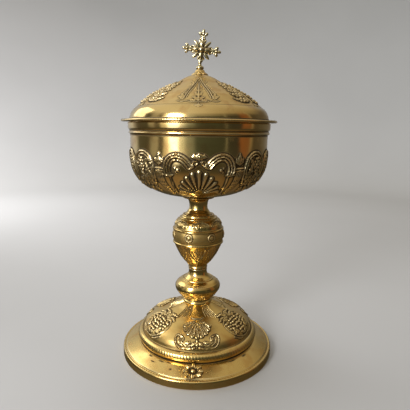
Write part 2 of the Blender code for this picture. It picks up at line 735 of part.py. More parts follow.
def make_lid(finish):
    """The hollow lid: a flange, an inner rim that sits in the cup, and a chased dome with a leafy tip."""
    dome = lid_outline()
    start, end = LID_PLAIN_SHARE * dome.length, LID_BAND_END * dome.length
    seat_radius = CUP_RADIUS - CUP_WALL - LID_PLAY
    mesh = bmesh.new()
    edge = between((LID_RADIUS, LID_Z), (FLANGE_RADIUS, LID_Z + FLANGE_THICKNESS),
                   [(0.93, 0.0), (1.0, 0.4), (0.87, 1.0), (0.16, 0.8)])
    skirt = [tuple(dome.at(start * share)) for share in (0.0, 0.33, 0.66, 1.0)]
    add_rings(mesh, edge + skirt, SEGMENTS)
    band = Outline([dome.at(start + (end - start) * step / BAND_STEPS) for step in range(BAND_STEPS + 1)])
    motifs = [(0, lid_shell()), (LID_VINE_ANGLE, lid_vine())]
    share = (HALF_SHARE, SHELLS, HALF_SHARE_COLUMNS)
    ChasedBand(band, motifs, LID_DRAWN, LID_RELIEF, *share, 6).add_to(mesh)
    top = LID_Z + LID_HEIGHT
    neck = dome.points[-1]
    tip = [tuple(band.points[-1]), tuple(neck), (LID_TIP_RADIUS, neck.y + 0.62 * LID_TIP_HEIGHT),
           (0.5 * LID_TIP_RADIUS, top), (0, top)]
    add_rings(mesh, tip, SEGMENTS)
    hollow = inward(dome, LID_WALL, [0.93, 0.6, 0.28, 0.07])
    seat = [(seat_radius - LID_WALL, LID_Z), (seat_radius - LID_WALL, LID_Z - LID_SEAT_DEPTH),
            (seat_radius, LID_Z - LID_SEAT_DEPTH), (seat_radius, LID_Z), edge[0]]
    add_rings(mesh, [(0, hollow[0][1])] + hollow + seat, SEGMENTS)
    return finished(mesh, "lid", finish)


def arm_half(length):
    """One side of an arm, as along and across: a leaf by the centre, a thin stalk and half a trefoil."""
    leaf = [(0.2, 0.055), (0.36, 0.15), (0.5, 0.115), (0.58, 0.06), (0.66, 0.065)]
    lobes = [(0.7, 0.16), (0.78, 0.23), (0.88, 0.2), (0.89, 0.1), (0.97, 0.09)]
    return [(length * along, CROSS_ARM * across) for along, across in leaf + lobes]


def cross_sides():
    """The outline of the cross and its crest lines, in its own plane, from its centre."""
    outline = []
    crests = [[Vector((0, 0))]]
    for quarter in range(4):
        length = CROSS_LOWER_ARM if quarter == 2 else CROSS_ARM
        half = arm_half(length)
        arm = [(along, -across) for along, across in half]
        if quarter == 2:
            arm, half = arm[:5] + [(length, -CROSS_STALK)], half[:5] + [(length, CROSS_STALK)]
        else:
            arm.append((length, 0.0))
        arm += [(along, across) for along, across in reversed(half)]
        turn = math.pi / 2 * quarter
        way, side = Vector((math.sin(turn), math.cos(turn))), Vector((math.cos(turn), -math.sin(turn)))
        outline += [way * along + side * across for along, across in arm]
        ray_turn = turn + math.pi / 4
        ray = Vector((math.sin(ray_turn), math.cos(ray_turn)))
        outline.append(ray * CROSS_RAY)
        shares = (0.2, 0.36, 0.62, 0.8) if quarter != 2 else (0.2, 0.4, 0.7)
        crests.append([way * length * share for share in shares])
        crests.append([ray * CROSS_RAY * share for share in (0.3, 0.6)])
    return outline, crests


def within(outline, place):
    """Whether a place lies inside a closed outline: a line from it to one side crosses it an odd time."""
    crossings = 0
    for start, end in zip(outline, outline[1:] + outline[:1]):
        if (start.y > place.y) != (end.y > place.y):
            share = (place.y - start.y) / (end.y - start.y)
            crossings += start.x + (end.x - start.x) * share > place.x
    return crossings % 2 == 1


def make_finial(finish):
    """A small knob and neck that carry the leaning cross."""
    outline, crests = cross_sides()
    corners = list(outline)
    for crest in crests:
        corners += crest
    rim = len(outline)
    edges = [(index, (index + 1) % rim) for index in range(rim)]
    found, _, faces, *_ = delaunay_2d_cdt(corners, edges, [], 0, WELD * 0.1, True)
    middles = [sum((found[index] for index in face), Vector((0, 0))) / 3 for face in faces]
    faces = [face for face, middle in zip(faces, middles) if within(outline, middle)]
    mesh = bmesh.new()
    sides = []
    for side in (1, -1):
        made = []
        for index, corner in enumerate(found):
            thick = CROSS_EDGE if index < rim else CROSS_RIDGE
            if corner.length < CROSS_PEARL:
                thick = CROSS_RIDGE + CROSS_PEARL * 0.7
            made.append(mesh.verts.new((corner.x, -side * thick, corner.y)))
        sides.append(made)
        for face in faces:
            mesh.faces.new([made[index] for index in face][::side])
    for start, end in edges:
        mesh.faces.new((sides[0][start], sides[0][end], sides[1][end], sides[1][start]))
    lean = Matrix.Rotation(CROSS_LEAN, 4, "Y")
    pivot = Vector((0, 0, FINIAL_NECK_Z))
    place = Matrix.Translation(pivot) @ lean @ Matrix.Translation((0, 0, CROSS_Z - FINIAL_NECK_Z))
    bmesh.ops.transform(mesh, matrix=place, verts=mesh.verts)
    made = finished(mesh, "cross_finial", finish)
    knob, neck, low = FINIAL_KNOB_RADIUS, FINIAL_NECK_RADIUS, FINIAL_Z
    neck_low = low + FINIAL_KNOB_HEIGHT
    neck_top = neck_low + FINIAL_NECK_HEIGHT + FINIAL_JOIN
    baluster = bmesh.new()
    turned = [(0, low), (knob * 0.72, low), (knob, low + 0.4 * FINIAL_KNOB_HEIGHT),
              (knob * 0.8, low + 0.75 * FINIAL_KNOB_HEIGHT), (neck, neck_low),
              (neck * 0.9, neck_low + 0.5 * FINIAL_NECK_HEIGHT), (neck * 1.2, neck_top), (0, neck_top)]
    add_rings(baluster, turned, STEM_SEGMENTS // 2)
    stem = finished(baluster, "finial_stem", finish)
    stem.hide_render = True
    stem.display_type = "WIRE"
    join = made.modifiers.new("stem", "BOOLEAN")
    join.operation = "UNION"
    join.solver = "EXACT"
    join.object = stem
    return made


def main():
    for old in list(bpy.data.objects):
        bpy.data.objects.remove(old, do_unlink=True)
    gold = gilt("gilt", (0.72, 0.47, 0.13), 0.26)
    worn_gold = gilt("worn gilt", (0.70, 0.50, 0.18), 0.3)
    pale_gold = gilt("pale gilt", (0.74, 0.60, 0.30), 0.28)
    make_foot(gold)
    make_rosette(gold)
    make_lower_knop(gold)
    make_knop(gold)
    make_neck(gold)
    make_cup(worn_gold)
    make_lid(worn_gold)
    make_finial(pale_gold)


main()
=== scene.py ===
"""The looks of a covered ciborium of gilt metal, chased by hand and worn, in a plain studio.

Lengths are in metres and angles in radians, but ornament is drawn in millimetres. The piece stands on Z = 0
with its front towards -Y, and an angle round its axis is measured from the front, towards +X. Each turned
piece is a section, given as radius and height, that is spun and then embossed: its ornament is laid out
across the surface and up along the section.
"""

from __future__ import annotations

import logging
import math
from dataclasses import dataclass, replace
from enum import Enum
from typing import Any, Sequence

import bpy
import numpy as np
from mathutils import Matrix, Vector

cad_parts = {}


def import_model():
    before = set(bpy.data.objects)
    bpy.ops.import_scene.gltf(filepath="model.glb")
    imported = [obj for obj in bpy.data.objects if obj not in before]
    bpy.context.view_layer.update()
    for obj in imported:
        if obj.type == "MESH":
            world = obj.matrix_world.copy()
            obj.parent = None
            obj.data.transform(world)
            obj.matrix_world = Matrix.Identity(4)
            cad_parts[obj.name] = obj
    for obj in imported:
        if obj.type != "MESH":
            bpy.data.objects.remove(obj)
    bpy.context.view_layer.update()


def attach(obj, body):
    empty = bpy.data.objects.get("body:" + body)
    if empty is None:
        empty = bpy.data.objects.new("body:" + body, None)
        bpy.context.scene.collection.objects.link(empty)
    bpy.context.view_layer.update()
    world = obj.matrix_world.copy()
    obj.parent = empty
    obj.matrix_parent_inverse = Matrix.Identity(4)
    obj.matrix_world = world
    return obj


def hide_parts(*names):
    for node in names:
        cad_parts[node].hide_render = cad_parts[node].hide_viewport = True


MM = 0.001
SPIN_DOUBLINGS = 5
SHARES = 3  # How often the ornament of the foot, the cup and the lid repeats.
BOSSES = 7  # How many bosses, and leaves and ribbons beside them, go round the knop.
Pair = tuple[float, float]
log = logging.getLogger("ciborium")


# Sections


def curve(points: Sequence[Pair], spacing: float, smooth: bool = True) -> np.ndarray:
    """Points at an even spacing along a line through some points.

    Args:
        points: Radius and height of each point, in millimetres.
        spacing: The distance between two points of the result, in millimetres.
        smooth: Whether the line is a smooth curve or keeps its corners.

    Returns:
        The points, one row each, in millimetres.
    """
    given = np.array(points, float)
    if smooth:
        ends = np.vstack([2 * given[0] - given[1], given, 2 * given[-1] - given[-2]])
        share = np.linspace(0, 1, 24, endpoint=False)[:, None]
        dense = []
        for a, b, c, d in zip(ends, ends[1:], ends[2:], ends[3:]):
            bend = 2 * a - 5 * b + 4 * c - d + share * (3 * b - a - 3 * c + d)
            dense.append(b + 0.5 * share * (c - a + share * bend))
        given = np.vstack(dense + [given[-1:]])
    along = np.concatenate([[0], np.cumsum(np.hypot(*np.diff(given, axis=0).T))])
    count = max(1, math.ceil(along[-1] / spacing))
    even = np.linspace(0, along[-1], count + 1)
    if not smooth:
        even = np.unique(np.concatenate([even, along]))
    return np.column_stack([np.interp(even, along, given[:, side]) for side in (0, 1)])


def bowl(radius: float, depth: float, top: float, start: float, spacing: float) -> np.ndarray:
    """A full round bowl's curve, from near its bottom to its upright wall.

    Args:
        radius: Its widest radius, in millimetres.
        depth: How deep the whole curve is, in millimetres.
        top: The height of its upper end, in millimetres.
        start: The angle at which it leaves the flat bottom.
        spacing: The distance between two points, in millimetres.

    Returns:
        The points, one row each, in millimetres.
    """
    turn = np.linspace(start, math.pi / 2, 60)
    power = 2 / 2.6
    drop = np.maximum(np.cos(turn), 0) ** power
    return curve(list(zip(radius * np.sin(turn) ** power, top - depth * drop)), spacing)


class Gap(Enum):
    """Where the line of a section is broken, because it meets the axis there."""

    NOWHERE = "nowhere"
    BELOW = "between its last and its first point"
    ABOVE = "between its outer and its inner face"


@dataclass
class Section:
    """The cut of a turned piece, in millimetres.

    Attributes:
        outside: The points of its outer face, from below.
        inside: The points of its inner face, in the order that goes on from the outer one.
        gap: Where its line is broken.
    """

    outside: np.ndarray
    inside: np.ndarray
    gap: Gap

    def broken_edge(self) -> set[int]:
        """The two points that no edge joins."""
        if self.gap is Gap.ABOVE:
            return {len(self.outside) - 1, len(self.outside)}
        return {0, len(self.outside) + len(self.inside) - 1} if self.gap is Gap.BELOW else set()

    def points(self) -> np.ndarray:
        """All points in order."""
        return np.vstack([self.outside, self.inside]) if len(self.inside) else self.outside

    def normals(self) -> np.ndarray:
        """The direction out of the metal at each outer point, and nothing at an inner one."""
        run = np.gradient(self.outside, axis=0)
        out = np.column_stack([run[:, 1], -run[:, 0]])
        out /= np.maximum(np.hypot(*out.T), 1e-9)[:, None]
        return np.vstack([out, np.zeros((len(self.inside), 2))])

    def stations(self, height: float, station: float, radius: float = 0.0) -> np.ndarray:
        """How far along the outer face each of its points is.

        Args:
            height: The height of the point that is known, in millimetres.
            station: How far along that point is, in millimetres.
            radius: Its radius where the height alone leaves a doubt, or 0.

        Returns:
            The stations, in millimetres.
        """
        along = np.concatenate([[0], np.cumsum(np.hypot(*np.diff(self.outside, axis=0).T))])
        away = np.abs(self.outside[:, 1] - height)
        if radius:
            away = np.hypot(away, self.outside[:, 0] - radius)
        return along - along[np.argmin(away)] + station


def joined(*runs: np.ndarray) -> np.ndarray:
    """Runs of points one after another, without a point that repeats the one before it."""
    points = np.vstack(runs)
    keep = np.concatenate([[True], np.hypot(*np.diff(points, axis=0).T) > 1e-4])
    return points[keep]


# Ornament


class Profile(Enum):
    """The shape of a raised line, cut across."""

    ROUND = "round"
    OUTLINED = "outlined"
    REEDED = "reeded"


class Form:
    """A raised form of the ornament, drawn in millimetres across and up."""

    def height(self, x: np.ndarray, y: np.ndarray) -> np.ndarray:
        """The share of the full relief at each place."""
        raise NotImplementedError

    def mirrored(self) -> Form:
        """Its mirror image, across the upright line through 0."""
        raise NotImplementedError


@dataclass(frozen=True)
class Thread(Form):
    """A raised line through some points.

    Attributes:
        points: Where it runs.
        width: How wide it is at its first point.
        end_width: How wide at its last point, or 0 where that is the same.
        rise: Its share of the full relief.
        profile: Its shape, cut across.
        reeds: How many reeds a reeded one has.
    """

    points: tuple[Pair, ...]
    width: float
    end_width: float = 0.0
    rise: float = 1.0
    profile: Profile = Profile.ROUND
    reeds: int = 3

    def height(self, x: np.ndarray, y: np.ndarray) -> np.ndarray:
        """The share of the full relief at each place."""
        line = curve(self.points, 1.4) if len(self.points) > 2 else np.array(self.points, float)
        nearest = np.full(x.shape, 9.0)
        end_width = self.end_width or self.width
        last = len(line) - 1
        for index, (start, end) in enumerate(zip(line, line[1:])):
            run = end - start
            share = ((x - start[0]) * run[0] + (y - start[1]) * run[1]) / max(run @ run, 1e-9)
            share = np.clip(share, 0, 1)
            half = (self.width + (end_width - self.width) * (index + share) / last) / 2
            away = np.hypot(x - start[0] - run[0] * share, y - start[1] - run[1] * share) / half
            nearest = np.minimum(nearest, away)
        inside = np.clip(1 - nearest**2, 0, 1)
        if self.profile is Profile.OUTLINED:
            rim = np.exp(-(((nearest - 0.66) / 0.24) ** 2))
            return self.rise * inside**0.3 * (0.3 + 0.7 * rim + 0.35 * np.exp(-((nearest / 0.18) ** 2)))
        if self.profile is Profile.REEDED:
            phase = math.pi / 2 * (1 - self.reeds % 2)
            reed = np.abs(np.cos(math.pi * self.reeds * nearest / 2 + phase))
            return self.rise * inside**0.4 * (0.4 + 0.6 * reed**0.8)
        return self.rise * inside**0.65

    def mirrored(self) -> Thread:
        """Its mirror image."""
        return replace(self, points=tuple((-x, y) for x, y in self.points))


@dataclass(frozen=True)
class Bead(Form):
    """A round raised drop, such as a pearl or a grape, or a ring where it is hollow.

    Attributes:
        x: Its place across.
        y: Its place up.
        size: Its radius.
        rise: Its share of the full relief.
        hollow: The share of its radius inside which it is sunk, or 0.
    """

    x: float
    y: float
    size: float
    rise: float = 1.0
    hollow: float = 0.0

    def height(self, x: np.ndarray, y: np.ndarray) -> np.ndarray:
        """The share of the full relief at each place."""
        away = np.hypot(x - self.x, y - self.y) / self.size
        if self.hollow:
            middle, half = (1 + self.hollow) / 2, (1 - self.hollow) / 2
            away = (away - middle) / half
        return self.rise * np.sqrt(np.clip(1 - away**2, 0, 1))

    def mirrored(self) -> Bead:
        """Its mirror image."""
        return replace(self, x=-self.x)


@dataclass(frozen=True)
class Leaf(Form):
    """A chased leaf with a midrib, side veins and a lobed edge.

    Attributes:
        stalk: Where it begins.
        tip: Where it ends.
        width: Its greatest width.
        lobes: How many lobes each side has.
        bend: How far its middle is off the straight line.
        rise: Its share of the full relief.
    """

    stalk: Pair
    tip: Pair
    width: float
    lobes: int = 3
    bend: float = 0.0
    rise: float = 1.0

    def height(self, x: np.ndarray, y: np.ndarray) -> np.ndarray:
        """The share of the full relief at each place."""
        run = np.array(self.tip, float) - np.array(self.stalk, float)
        length = math.hypot(*run)
        way = run / length
        away_x, away_y = x - self.stalk[0], y - self.stalk[1]
        share = np.clip((away_x * way[0] + away_y * way[1]) / length, 0, 1)
        bow = self.bend * np.sin(math.pi * share)
        aside = away_y * way[0] - away_x * way[1] - bow
        beyond = np.hypot(away_x - way[0] * share * length + way[1] * bow,
                          away_y - way[1] * share * length - way[0] * bow)
        lobe = 1 + 0.2 * np.cos(math.tau * self.lobes * share)
        half = np.maximum(self.width / 2 * np.sin(math.pi * share**0.75) ** 0.8 * lobe, 0.05)
        body = np.clip(1 - (beyond / half) ** 2, 0, 1) ** 0.5
        midrib = np.exp(-((aside / 0.45) ** 2))
        vein = np.cos(math.tau * (self.lobes * share * 1.5 - np.abs(aside) / self.width))
        return self.rise * body * (0.82 + 0.16 * vein - 0.3 * midrib)

    def mirrored(self) -> Leaf:
        """Its mirror image."""
        stalk, tip = (-self.stalk[0], self.stalk[1]), (-self.tip[0], self.tip[1])
        return replace(self, stalk=stalk, tip=tip, bend=-self.bend)


def both(forms: Sequence[Form]) -> list[Form]:
    """These forms and their mirror images."""
    return [*forms, *(form.mirrored() for form in forms)]


def arc(x: float, y: float, across: float, up: float, start: float, end: float) -> tuple[Pair, ...]:
    """Points on part of an oval.

    Args:
        x: Its centre, across.
        y: Its centre, up.
        across: Half its width.
        up: Half its height.
        start: The first angle, in degrees from the right, anticlockwise.
        end: The last angle, in degrees.

    Returns:
        Nine points, in millimetres.
    """
    turns = np.radians(np.linspace(start, end, 9))
    return tuple((x + across * math.cos(turn), y + up * math.sin(turn)) for turn in turns)


def volute(x: float, y: float, size: float, start: float, turns: float) -> tuple[Pair, ...]:
    """Points on a spiral that winds in to its centre.

    Args:
        x: Its centre, across.
        y: Its centre, up.
        size: Its outer radius.
        start: The angle of its outer end, in degrees from the right, anticlockwise.
        turns: How many turns it makes, less than 0 for clockwise.

    Returns:
        Its points, from outside, in millimetres.
    """
    share = np.linspace(0, 1, 12)
    angle = math.radians(start) + math.tau * turns * share
    reach = size * (1 - 0.8 * share)
    return tuple(zip(x + reach * np.cos(angle), y + reach * np.sin(angle)))


def fan(foot: float, reaches: Sequence[float], gap: float, facing: int, profile: Profile,
        fill: float) -> list[Form]:
    """A shell of ribs that spread from one point.

    Args:
        foot: The height of that point.
        reaches: How long the ribs are, from the middle one to the last at the side.
        gap: The angle between two ribs, in degrees.
        facing: 1 where the shell opens upwards and -1 where downwards.
        profile: The shape of a rib, cut across.
        fill: The share of the room between two ribs' middles that a rib takes.

    Returns:
        The ribs, each with a bead at its tip where they are round.
    """
    made: list[Form] = []
    for index, reach in enumerate(reaches):
        turn = math.radians(gap) * index
        way = (math.sin(turn), facing * math.cos(turn))
        wide = fill * math.radians(gap) * reach
        near, far = 0.24 * reach, reach - wide / 2
        ends = tuple((way[0] * at, foot + way[1] * at) for at in (near, far))
        parts: list[Form] = [Thread(ends, 0.28 * wide, wide, 1.0, profile)]
        if profile is Profile.ROUND:
            parts.append(Bead(way[0] * far * 1.01, foot + way[1] * far * 1.01, wide * 0.46, 0.8))
        made += parts if index == 0 else both(parts)
    return made


def bunch(x: float, y: float, rows: Sequence[int], size: float, rise: float = 1.0,
          spread: float = 1.85) -> list[Form]:
    """A bunch of grapes.

    Args:
        x: The middle of its top row, across.
        y: The height of its top row.
        rows: How many grapes each row has, from the top.
        size: A grape's radius.
        rise: The share of the full relief.
        spread: How far apart two rows are, in grapes' radii.

    Returns:
        The grapes.
    """
    made: list[Form] = []
    for row, count in enumerate(rows):
        for place in range(count):
            sway, swell = math.sin(7.3 * row + 3.1 * place + x), math.cos(5.1 * row + 2.3 * place)
            across = (place - (count - 1) / 2 + 0.13 * sway) * size * 2.15
            up = (row + 0.13 * swell) * size * spread
            made.append(Bead(x + across, y - up, size * (1 + 0.1 * sway), rise * (1 + 0.1 * swell)))
    return made


@dataclass
class Band:
    """Ornament that repeats round the axis, each share with its own mirror image.

    Attributes:
        motifs: The angle of each motif's axis from the middle of a share, and its forms.
        shares: How many shares go round.
        relief: The full height of the relief, in millimetres.
        low: The station at which the ornament begins, in millimetres.
        high: The station at which it ends.
        turn: The angle by which it is turned about the axis.
    """

    motifs: list[tuple[float, list[Form]]]
    shares: int
    relief: float
    low: float
    high: float
    turn: float = 0.0

    def heights(self, stations: np.ndarray, radii: np.ndarray, steps: int) -> np.ndarray:
        """The relief on the whole surface.

        Args:
            stations: How far along the section each row is, in millimetres.
            radii: The radius of each row, in millimetres.
            steps: How many columns go round.

        Returns:
            The height of each row at each column, in millimetres.
        """
        share = math.tau / self.shares
        angle = math.tau * np.arange(steps) / steps - self.turn
        folded = np.abs((angle + share / 2) % share - share / 2)
        kept, back = np.unique(np.round(folded, 7), return_inverse=True)
        rows = np.flatnonzero((stations >= self.low) & (stations <= self.high))
        best = np.zeros((len(rows), len(kept)))
        up = np.repeat(stations[rows][:, None], len(kept), axis=1)
        for axis, forms in self.motifs:
            across = radii[rows][:, None] * (kept - axis)
            for form in forms:
                best = np.maximum(best, form.height(across, up))
        ends = np.minimum(stations[rows] - self.low, self.high - stations[rows])
        fade = np.clip(ends / 1.2, 0, 1)[:, None]
        found = np.zeros((len(stations), steps))
        found[rows] = (best * fade * self.relief)[:, back.ravel()]
        return found


def blurred(values: np.ndarray, passes: int) -> np.ndarray:
    """A grid smoothed along its rows, which end, and its columns, which go round."""
    found = values
    for _ in range(passes):
        rows = np.pad(found, ((1, 1), (0, 0)), mode="edge")
        found = (rows[:-2] + 2 * rows[1:-1] + rows[2:]) / 4
        found = (np.roll(found, 1, 1) + 2 * found + np.roll(found, -1, 1)) / 4
    return found


# Modelling


def deselect() -> None:
    """Leaves nothing selected."""
    if bpy.context.mode != "OBJECT":
        bpy.ops.object.mode_set(mode="OBJECT")
    bpy.ops.object.select_all(action="DESELECT")


def select(pieces: Sequence[bpy.types.Object]) -> None:
    """Selects these pieces alone and makes the first one active."""
    deselect()
    for piece in pieces:
        piece.select_set(True)
    bpy.context.view_layer.objects.active = pieces[0]


def coordinates(piece: bpy.types.Object) -> np.ndarray:
    """The piece's vertices, one row each, in metres."""
    found = np.empty(len(piece.data.vertices) * 3)
    piece.data.vertices.foreach_get("co", found)
    return found.reshape(-1, 3)


def move_vertices(piece: bpy.types.Object, places: np.ndarray) -> None:
    """Puts the piece's vertices at these places."""
    piece.data.vertices.foreach_set("co", places.ravel())
    piece.data.update()


def store(piece: bpy.types.Object, name: str, values: np.ndarray) -> None:
    """Keeps one number for each vertex, for the finish to read."""
    attribute = piece.data.attributes.new(name, "FLOAT", "POINT")
    attribute.data.foreach_set("value", values.astype(np.float32))


def spun(name: str, section: Section, steps: int) -> bpy.types.Object:
    """A piece that is turned from a section.

    Args:
        name: The name of the piece.
        section: Its cut.
        steps: How many columns go round, which 32 divides.

    Returns:
        The piece, closed and facing out, with no ornament yet.
    """
    points = section.points() * MM
    deselect()
    bpy.ops.mesh.primitive_circle_add(vertices=len(points), fill_type="NOTHING")
    piece = bpy.context.object
    piece.name = piece.data.name = name
    move_vertices(piece, np.column_stack([np.zeros(len(points)), -points[:, 0], points[:, 1]]))
    bpy.ops.object.mode_set(mode="EDIT")
    bpy.ops.mesh.select_mode(type="EDGE")
    bpy.ops.mesh.select_all(action="DESELECT")
    bpy.ops.object.mode_set(mode="OBJECT")
    for edge in piece.data.edges:
        edge.select = set(edge.vertices) == section.broken_edge()
    bpy.ops.object.mode_set(mode="EDIT")
    bpy.ops.mesh.delete(type="EDGE_FACE")
    bpy.ops.mesh.select_all(action="SELECT")
    span = math.tau / 2**SPIN_DOUBLINGS
    bpy.ops.mesh.spin(steps=steps // 2**SPIN_DOUBLINGS, angle=span, center=(0, 0, 0), axis=(0, 0, 1))
    for doubling in range(SPIN_DOUBLINGS):
        bpy.ops.mesh.select_all(action="SELECT")
        bpy.ops.mesh.duplicate()
        bpy.ops.transform.rotate(value=span * 2**doubling, orient_axis="Z", center_override=(0, 0, 0))
    bpy.ops.mesh.select_all(action="SELECT")
    bpy.ops.mesh.remove_doubles(threshold=1e-6)
    bpy.ops.mesh.normals_make_consistent(inside=False)
    bpy.ops.object.mode_set(mode="OBJECT")
    return piece


@dataclass
class Chasing:
    """The work on a turned piece's outer face, for each row at each column.

    Attributes:
        height: The height of the ornament, in millimetres.
        stain: How dirty the metal is, and where shade is painted on it, from 0 to 1.
        matt: How matt it is, from 0 to 1.
    """

    height: np.ndarray
    stain: np.ndarray | float = 0.0
    matt: np.ndarray | float = 0.0


def emboss(piece: bpy.types.Object, section: Section, chasing: Chasing) -> None:
    """Raises the ornament, and keeps where the metal is sunk, raised, stained or given painted shade, and
    matt.

    Args:
        piece: The spun piece.
        section: Its cut.
        chasing: The work on its outer face.
    """
    rows, steps = chasing.height.shape
    points, normals = section.points(), section.normals()
    body, dirt_and_shade, matt = (np.zeros((len(points), steps)) for _ in range(3))
    body[:rows] = chasing.height
    dirt_and_shade[:rows] = chasing.stain
    matt[:rows] = chasing.matt
    shape = points[:, :, None] + normals[:, :, None] * body[:, None, :]
    near, wide = 2, 8
    soft = np.stack([blurred(shape[:, side, :], near) for side in (0, 1)], axis=1)
    sunk = ((soft - shape) * normals[:, :, None]).sum(axis=1)
    sunk_wide = blurred(body, wide) - body
    # hollow darkens the recesses and the ground beside the relief: patina held there, and painted shade that
    # outlines the ornament.
    hollow = np.clip(sunk * 4.6 + sunk_wide * 1.7, 0, 1)
    crest = np.clip(-sunk * 7.0 - sunk_wide * 1.2, 0, 1)
    places = coordinates(piece)
    radius, angle = np.hypot(places[:, 0], places[:, 1]) / MM, np.arctan2(places[:, 0], -places[:, 1])
    column = np.round(angle * steps / math.tau).astype(int) % steps
    row = np.empty(len(places), int)
    for start in range(0, len(places), 20000):
        part = slice(start, start + 20000)
        away = (radius[part, None] - points[None, :, 0]) ** 2
        away += (places[part, 2, None] / MM - points[None, :, 1]) ** 2
        row[part] = away.argmin(axis=1)
    lifted = shape[row, :, column]
    angle = column * math.tau / steps
    move_vertices(piece, np.column_stack([
        lifted[:, 0] * np.sin(angle), -lifted[:, 0] * np.cos(angle), lifted[:, 1]]) * MM)
    store(piece, "hollow", hollow[row, column])
    store(piece, "crest", crest[row, column])
    store(piece, "stain", dirt_and_shade[row, column])
    store(piece, "matt", matt[row, column])


def hand_work(stations: np.ndarray, steps: int, size: float, seed: int) -> np.ndarray:
    """The slow unevenness of metal raised with a hammer.

    Args:
        stations: How far along the section each row is, in millimetres.
        steps: How many columns go round.
        size: How far it swells, in millimetres.
        seed: Which of many patterns it is.

    Returns:
        Its height at each row and column, in millimetres.
    """
    chance = np.random.default_rng(seed)
    angle = math.tau * np.arange(steps) / steps
    found = np.zeros((len(stations), steps))
    for _ in range(14):
        waves, pitch = chance.integers(2, 15), chance.uniform(14, 60)
        phase, tilt = chance.uniform(0, math.tau, 2)
        found += np.sin(waves * angle + phase)[None, :] * np.sin(stations / pitch * math.tau + tilt)[:, None]
    return found * size / 3.8


def rope(stations: np.ndarray, steps: int, middle: float, half: float, twists: int,
         rise: float) -> np.ndarray:
    """A twisted cord that runs round the piece.

    Args:
        stations: How far along the section each row is, in millimetres.
        steps: How many columns go round.
        middle: The station of its middle.
        half: Half its width, in millimetres.
        twists: How many twists go round.
        rise: Its height, in millimetres.

    Returns:
        Its height at each row and column, in millimetres.
    """
    away = ((stations - middle) / half)[:, None]
    angle = math.tau * np.arange(steps) / steps
    twist = np.abs(np.cos(twists * angle[None, :] / 2 + away * 0.9))
    return rise * np.sqrt(np.clip(1 - away**2, 0, 1)) * (0.3 + 0.7 * twist)


# Finishes


@dataclass(frozen=True)
class Signal:
    """One output of a shader node, which takes part in sums."""

    graph: Graph
    socket: bpy.types.NodeSocket

    def __add__(self, other: Signal | float) -> Signal:
        """This plus the other."""
        return self.graph.maths("ADD", self, other)

    def __radd__(self, other: float) -> Signal:
        """The other plus this."""
        return self.graph.maths("ADD", other, self)

    def __sub__(self, other: Signal | float) -> Signal:
        """This less the other."""
        return self.graph.maths("SUBTRACT", self, other)

    def __rsub__(self, other: float) -> Signal:
        """The other less this."""
        return self.graph.maths("SUBTRACT", other, self)

    def __mul__(self, other: Signal | float) -> Signal:
        """This times the other."""
        return self.graph.maths("MULTIPLY", self, other)

    def __rmul__(self, other: float) -> Signal:
        """The other times this."""
        return self.graph.maths("MULTIPLY", other, self)

    def __truediv__(self, other: Signal | float) -> Signal:
        """This divided by the other."""
        return self.graph.maths("DIVIDE", self, other)

    def between(self, low: float, high: float) -> Signal:
        """0 at or below low, 1 at or above high, and an eased step between them."""
        settings = {"interpolation_type": "SMOOTHSTEP"}
        return self.graph.add("ShaderNodeMapRange", settings, {0: self, 1: low, 2: high})


class Graph:
    """The nodes of one material or world."""

    def __init__(self, tree: bpy.types.NodeTree) -> None:
        """Empties the tree."""
        self.tree = tree
        tree.nodes.clear()

    def add(self, kind: str, settings: dict[str, Any] | None = None,
            inputs: dict[str | int, Any] | None = None, output: str | int = 0) -> Signal:
        """Adds a node.

        Args:
            kind: The node's type.
            settings: Its own settings, or a ramp's stops as pairs of place and colour.
            inputs: The value or signal of each of its sockets.
            output: Which of its outputs is wanted.

        Returns:
            That output.
        """
        node = self.tree.nodes.new(kind)
        for name, value in (settings or {}).items():
            if name == "stops":
                ramp = node.color_ramp
                while len(ramp.elements) < len(value):
                    ramp.elements.new(0.5)
                for element, (place, colour) in zip(ramp.elements, value):
                    element.position = place
                    element.color = (*colour, 1)
            else:
                setattr(node, name, value)
        for name, value in (inputs or {}).items():
            if isinstance(value, Signal):
                self.tree.links.new(value.socket, node.inputs[name])
            else:
                node.inputs[name].default_value = value
        return Signal(self, node.outputs[output] if node.outputs else None)

    def maths(self, operation: str, *values: Signal | float) -> Signal:
        """One sum on these values."""
        return self.add("ShaderNodeMath", {"operation": operation}, dict(enumerate(values)))

    def mix(self, share: Signal | float, first: Any, second: Any) -> Signal:
        """The first colour where the share is 0, and the second where it is 1."""
        return self.add("ShaderNodeMix", {"data_type": "RGBA"}, {0: share, 6: first, 7: second}, 2)

    def noise(self, scale: float, detail: float = 2.0, vector: Signal | None = None) -> Signal:
        """Soft noise, on the piece's own coordinates unless a vector is given."""
        place = vector or self.add("ShaderNodeTexCoord", output="Object")
        return self.add("ShaderNodeTexNoise", None, {"Vector": place, "Scale": scale, "Detail": detail})

    def stretched(self, across: float, up: float) -> Signal:
        """The piece's own coordinates, stretched level by one number and upright by another."""
        place = self.add("ShaderNodeTexCoord", output="Object")
        return self.add("ShaderNodeMapping", None, {"Vector": place, "Scale": (across, across, up)})


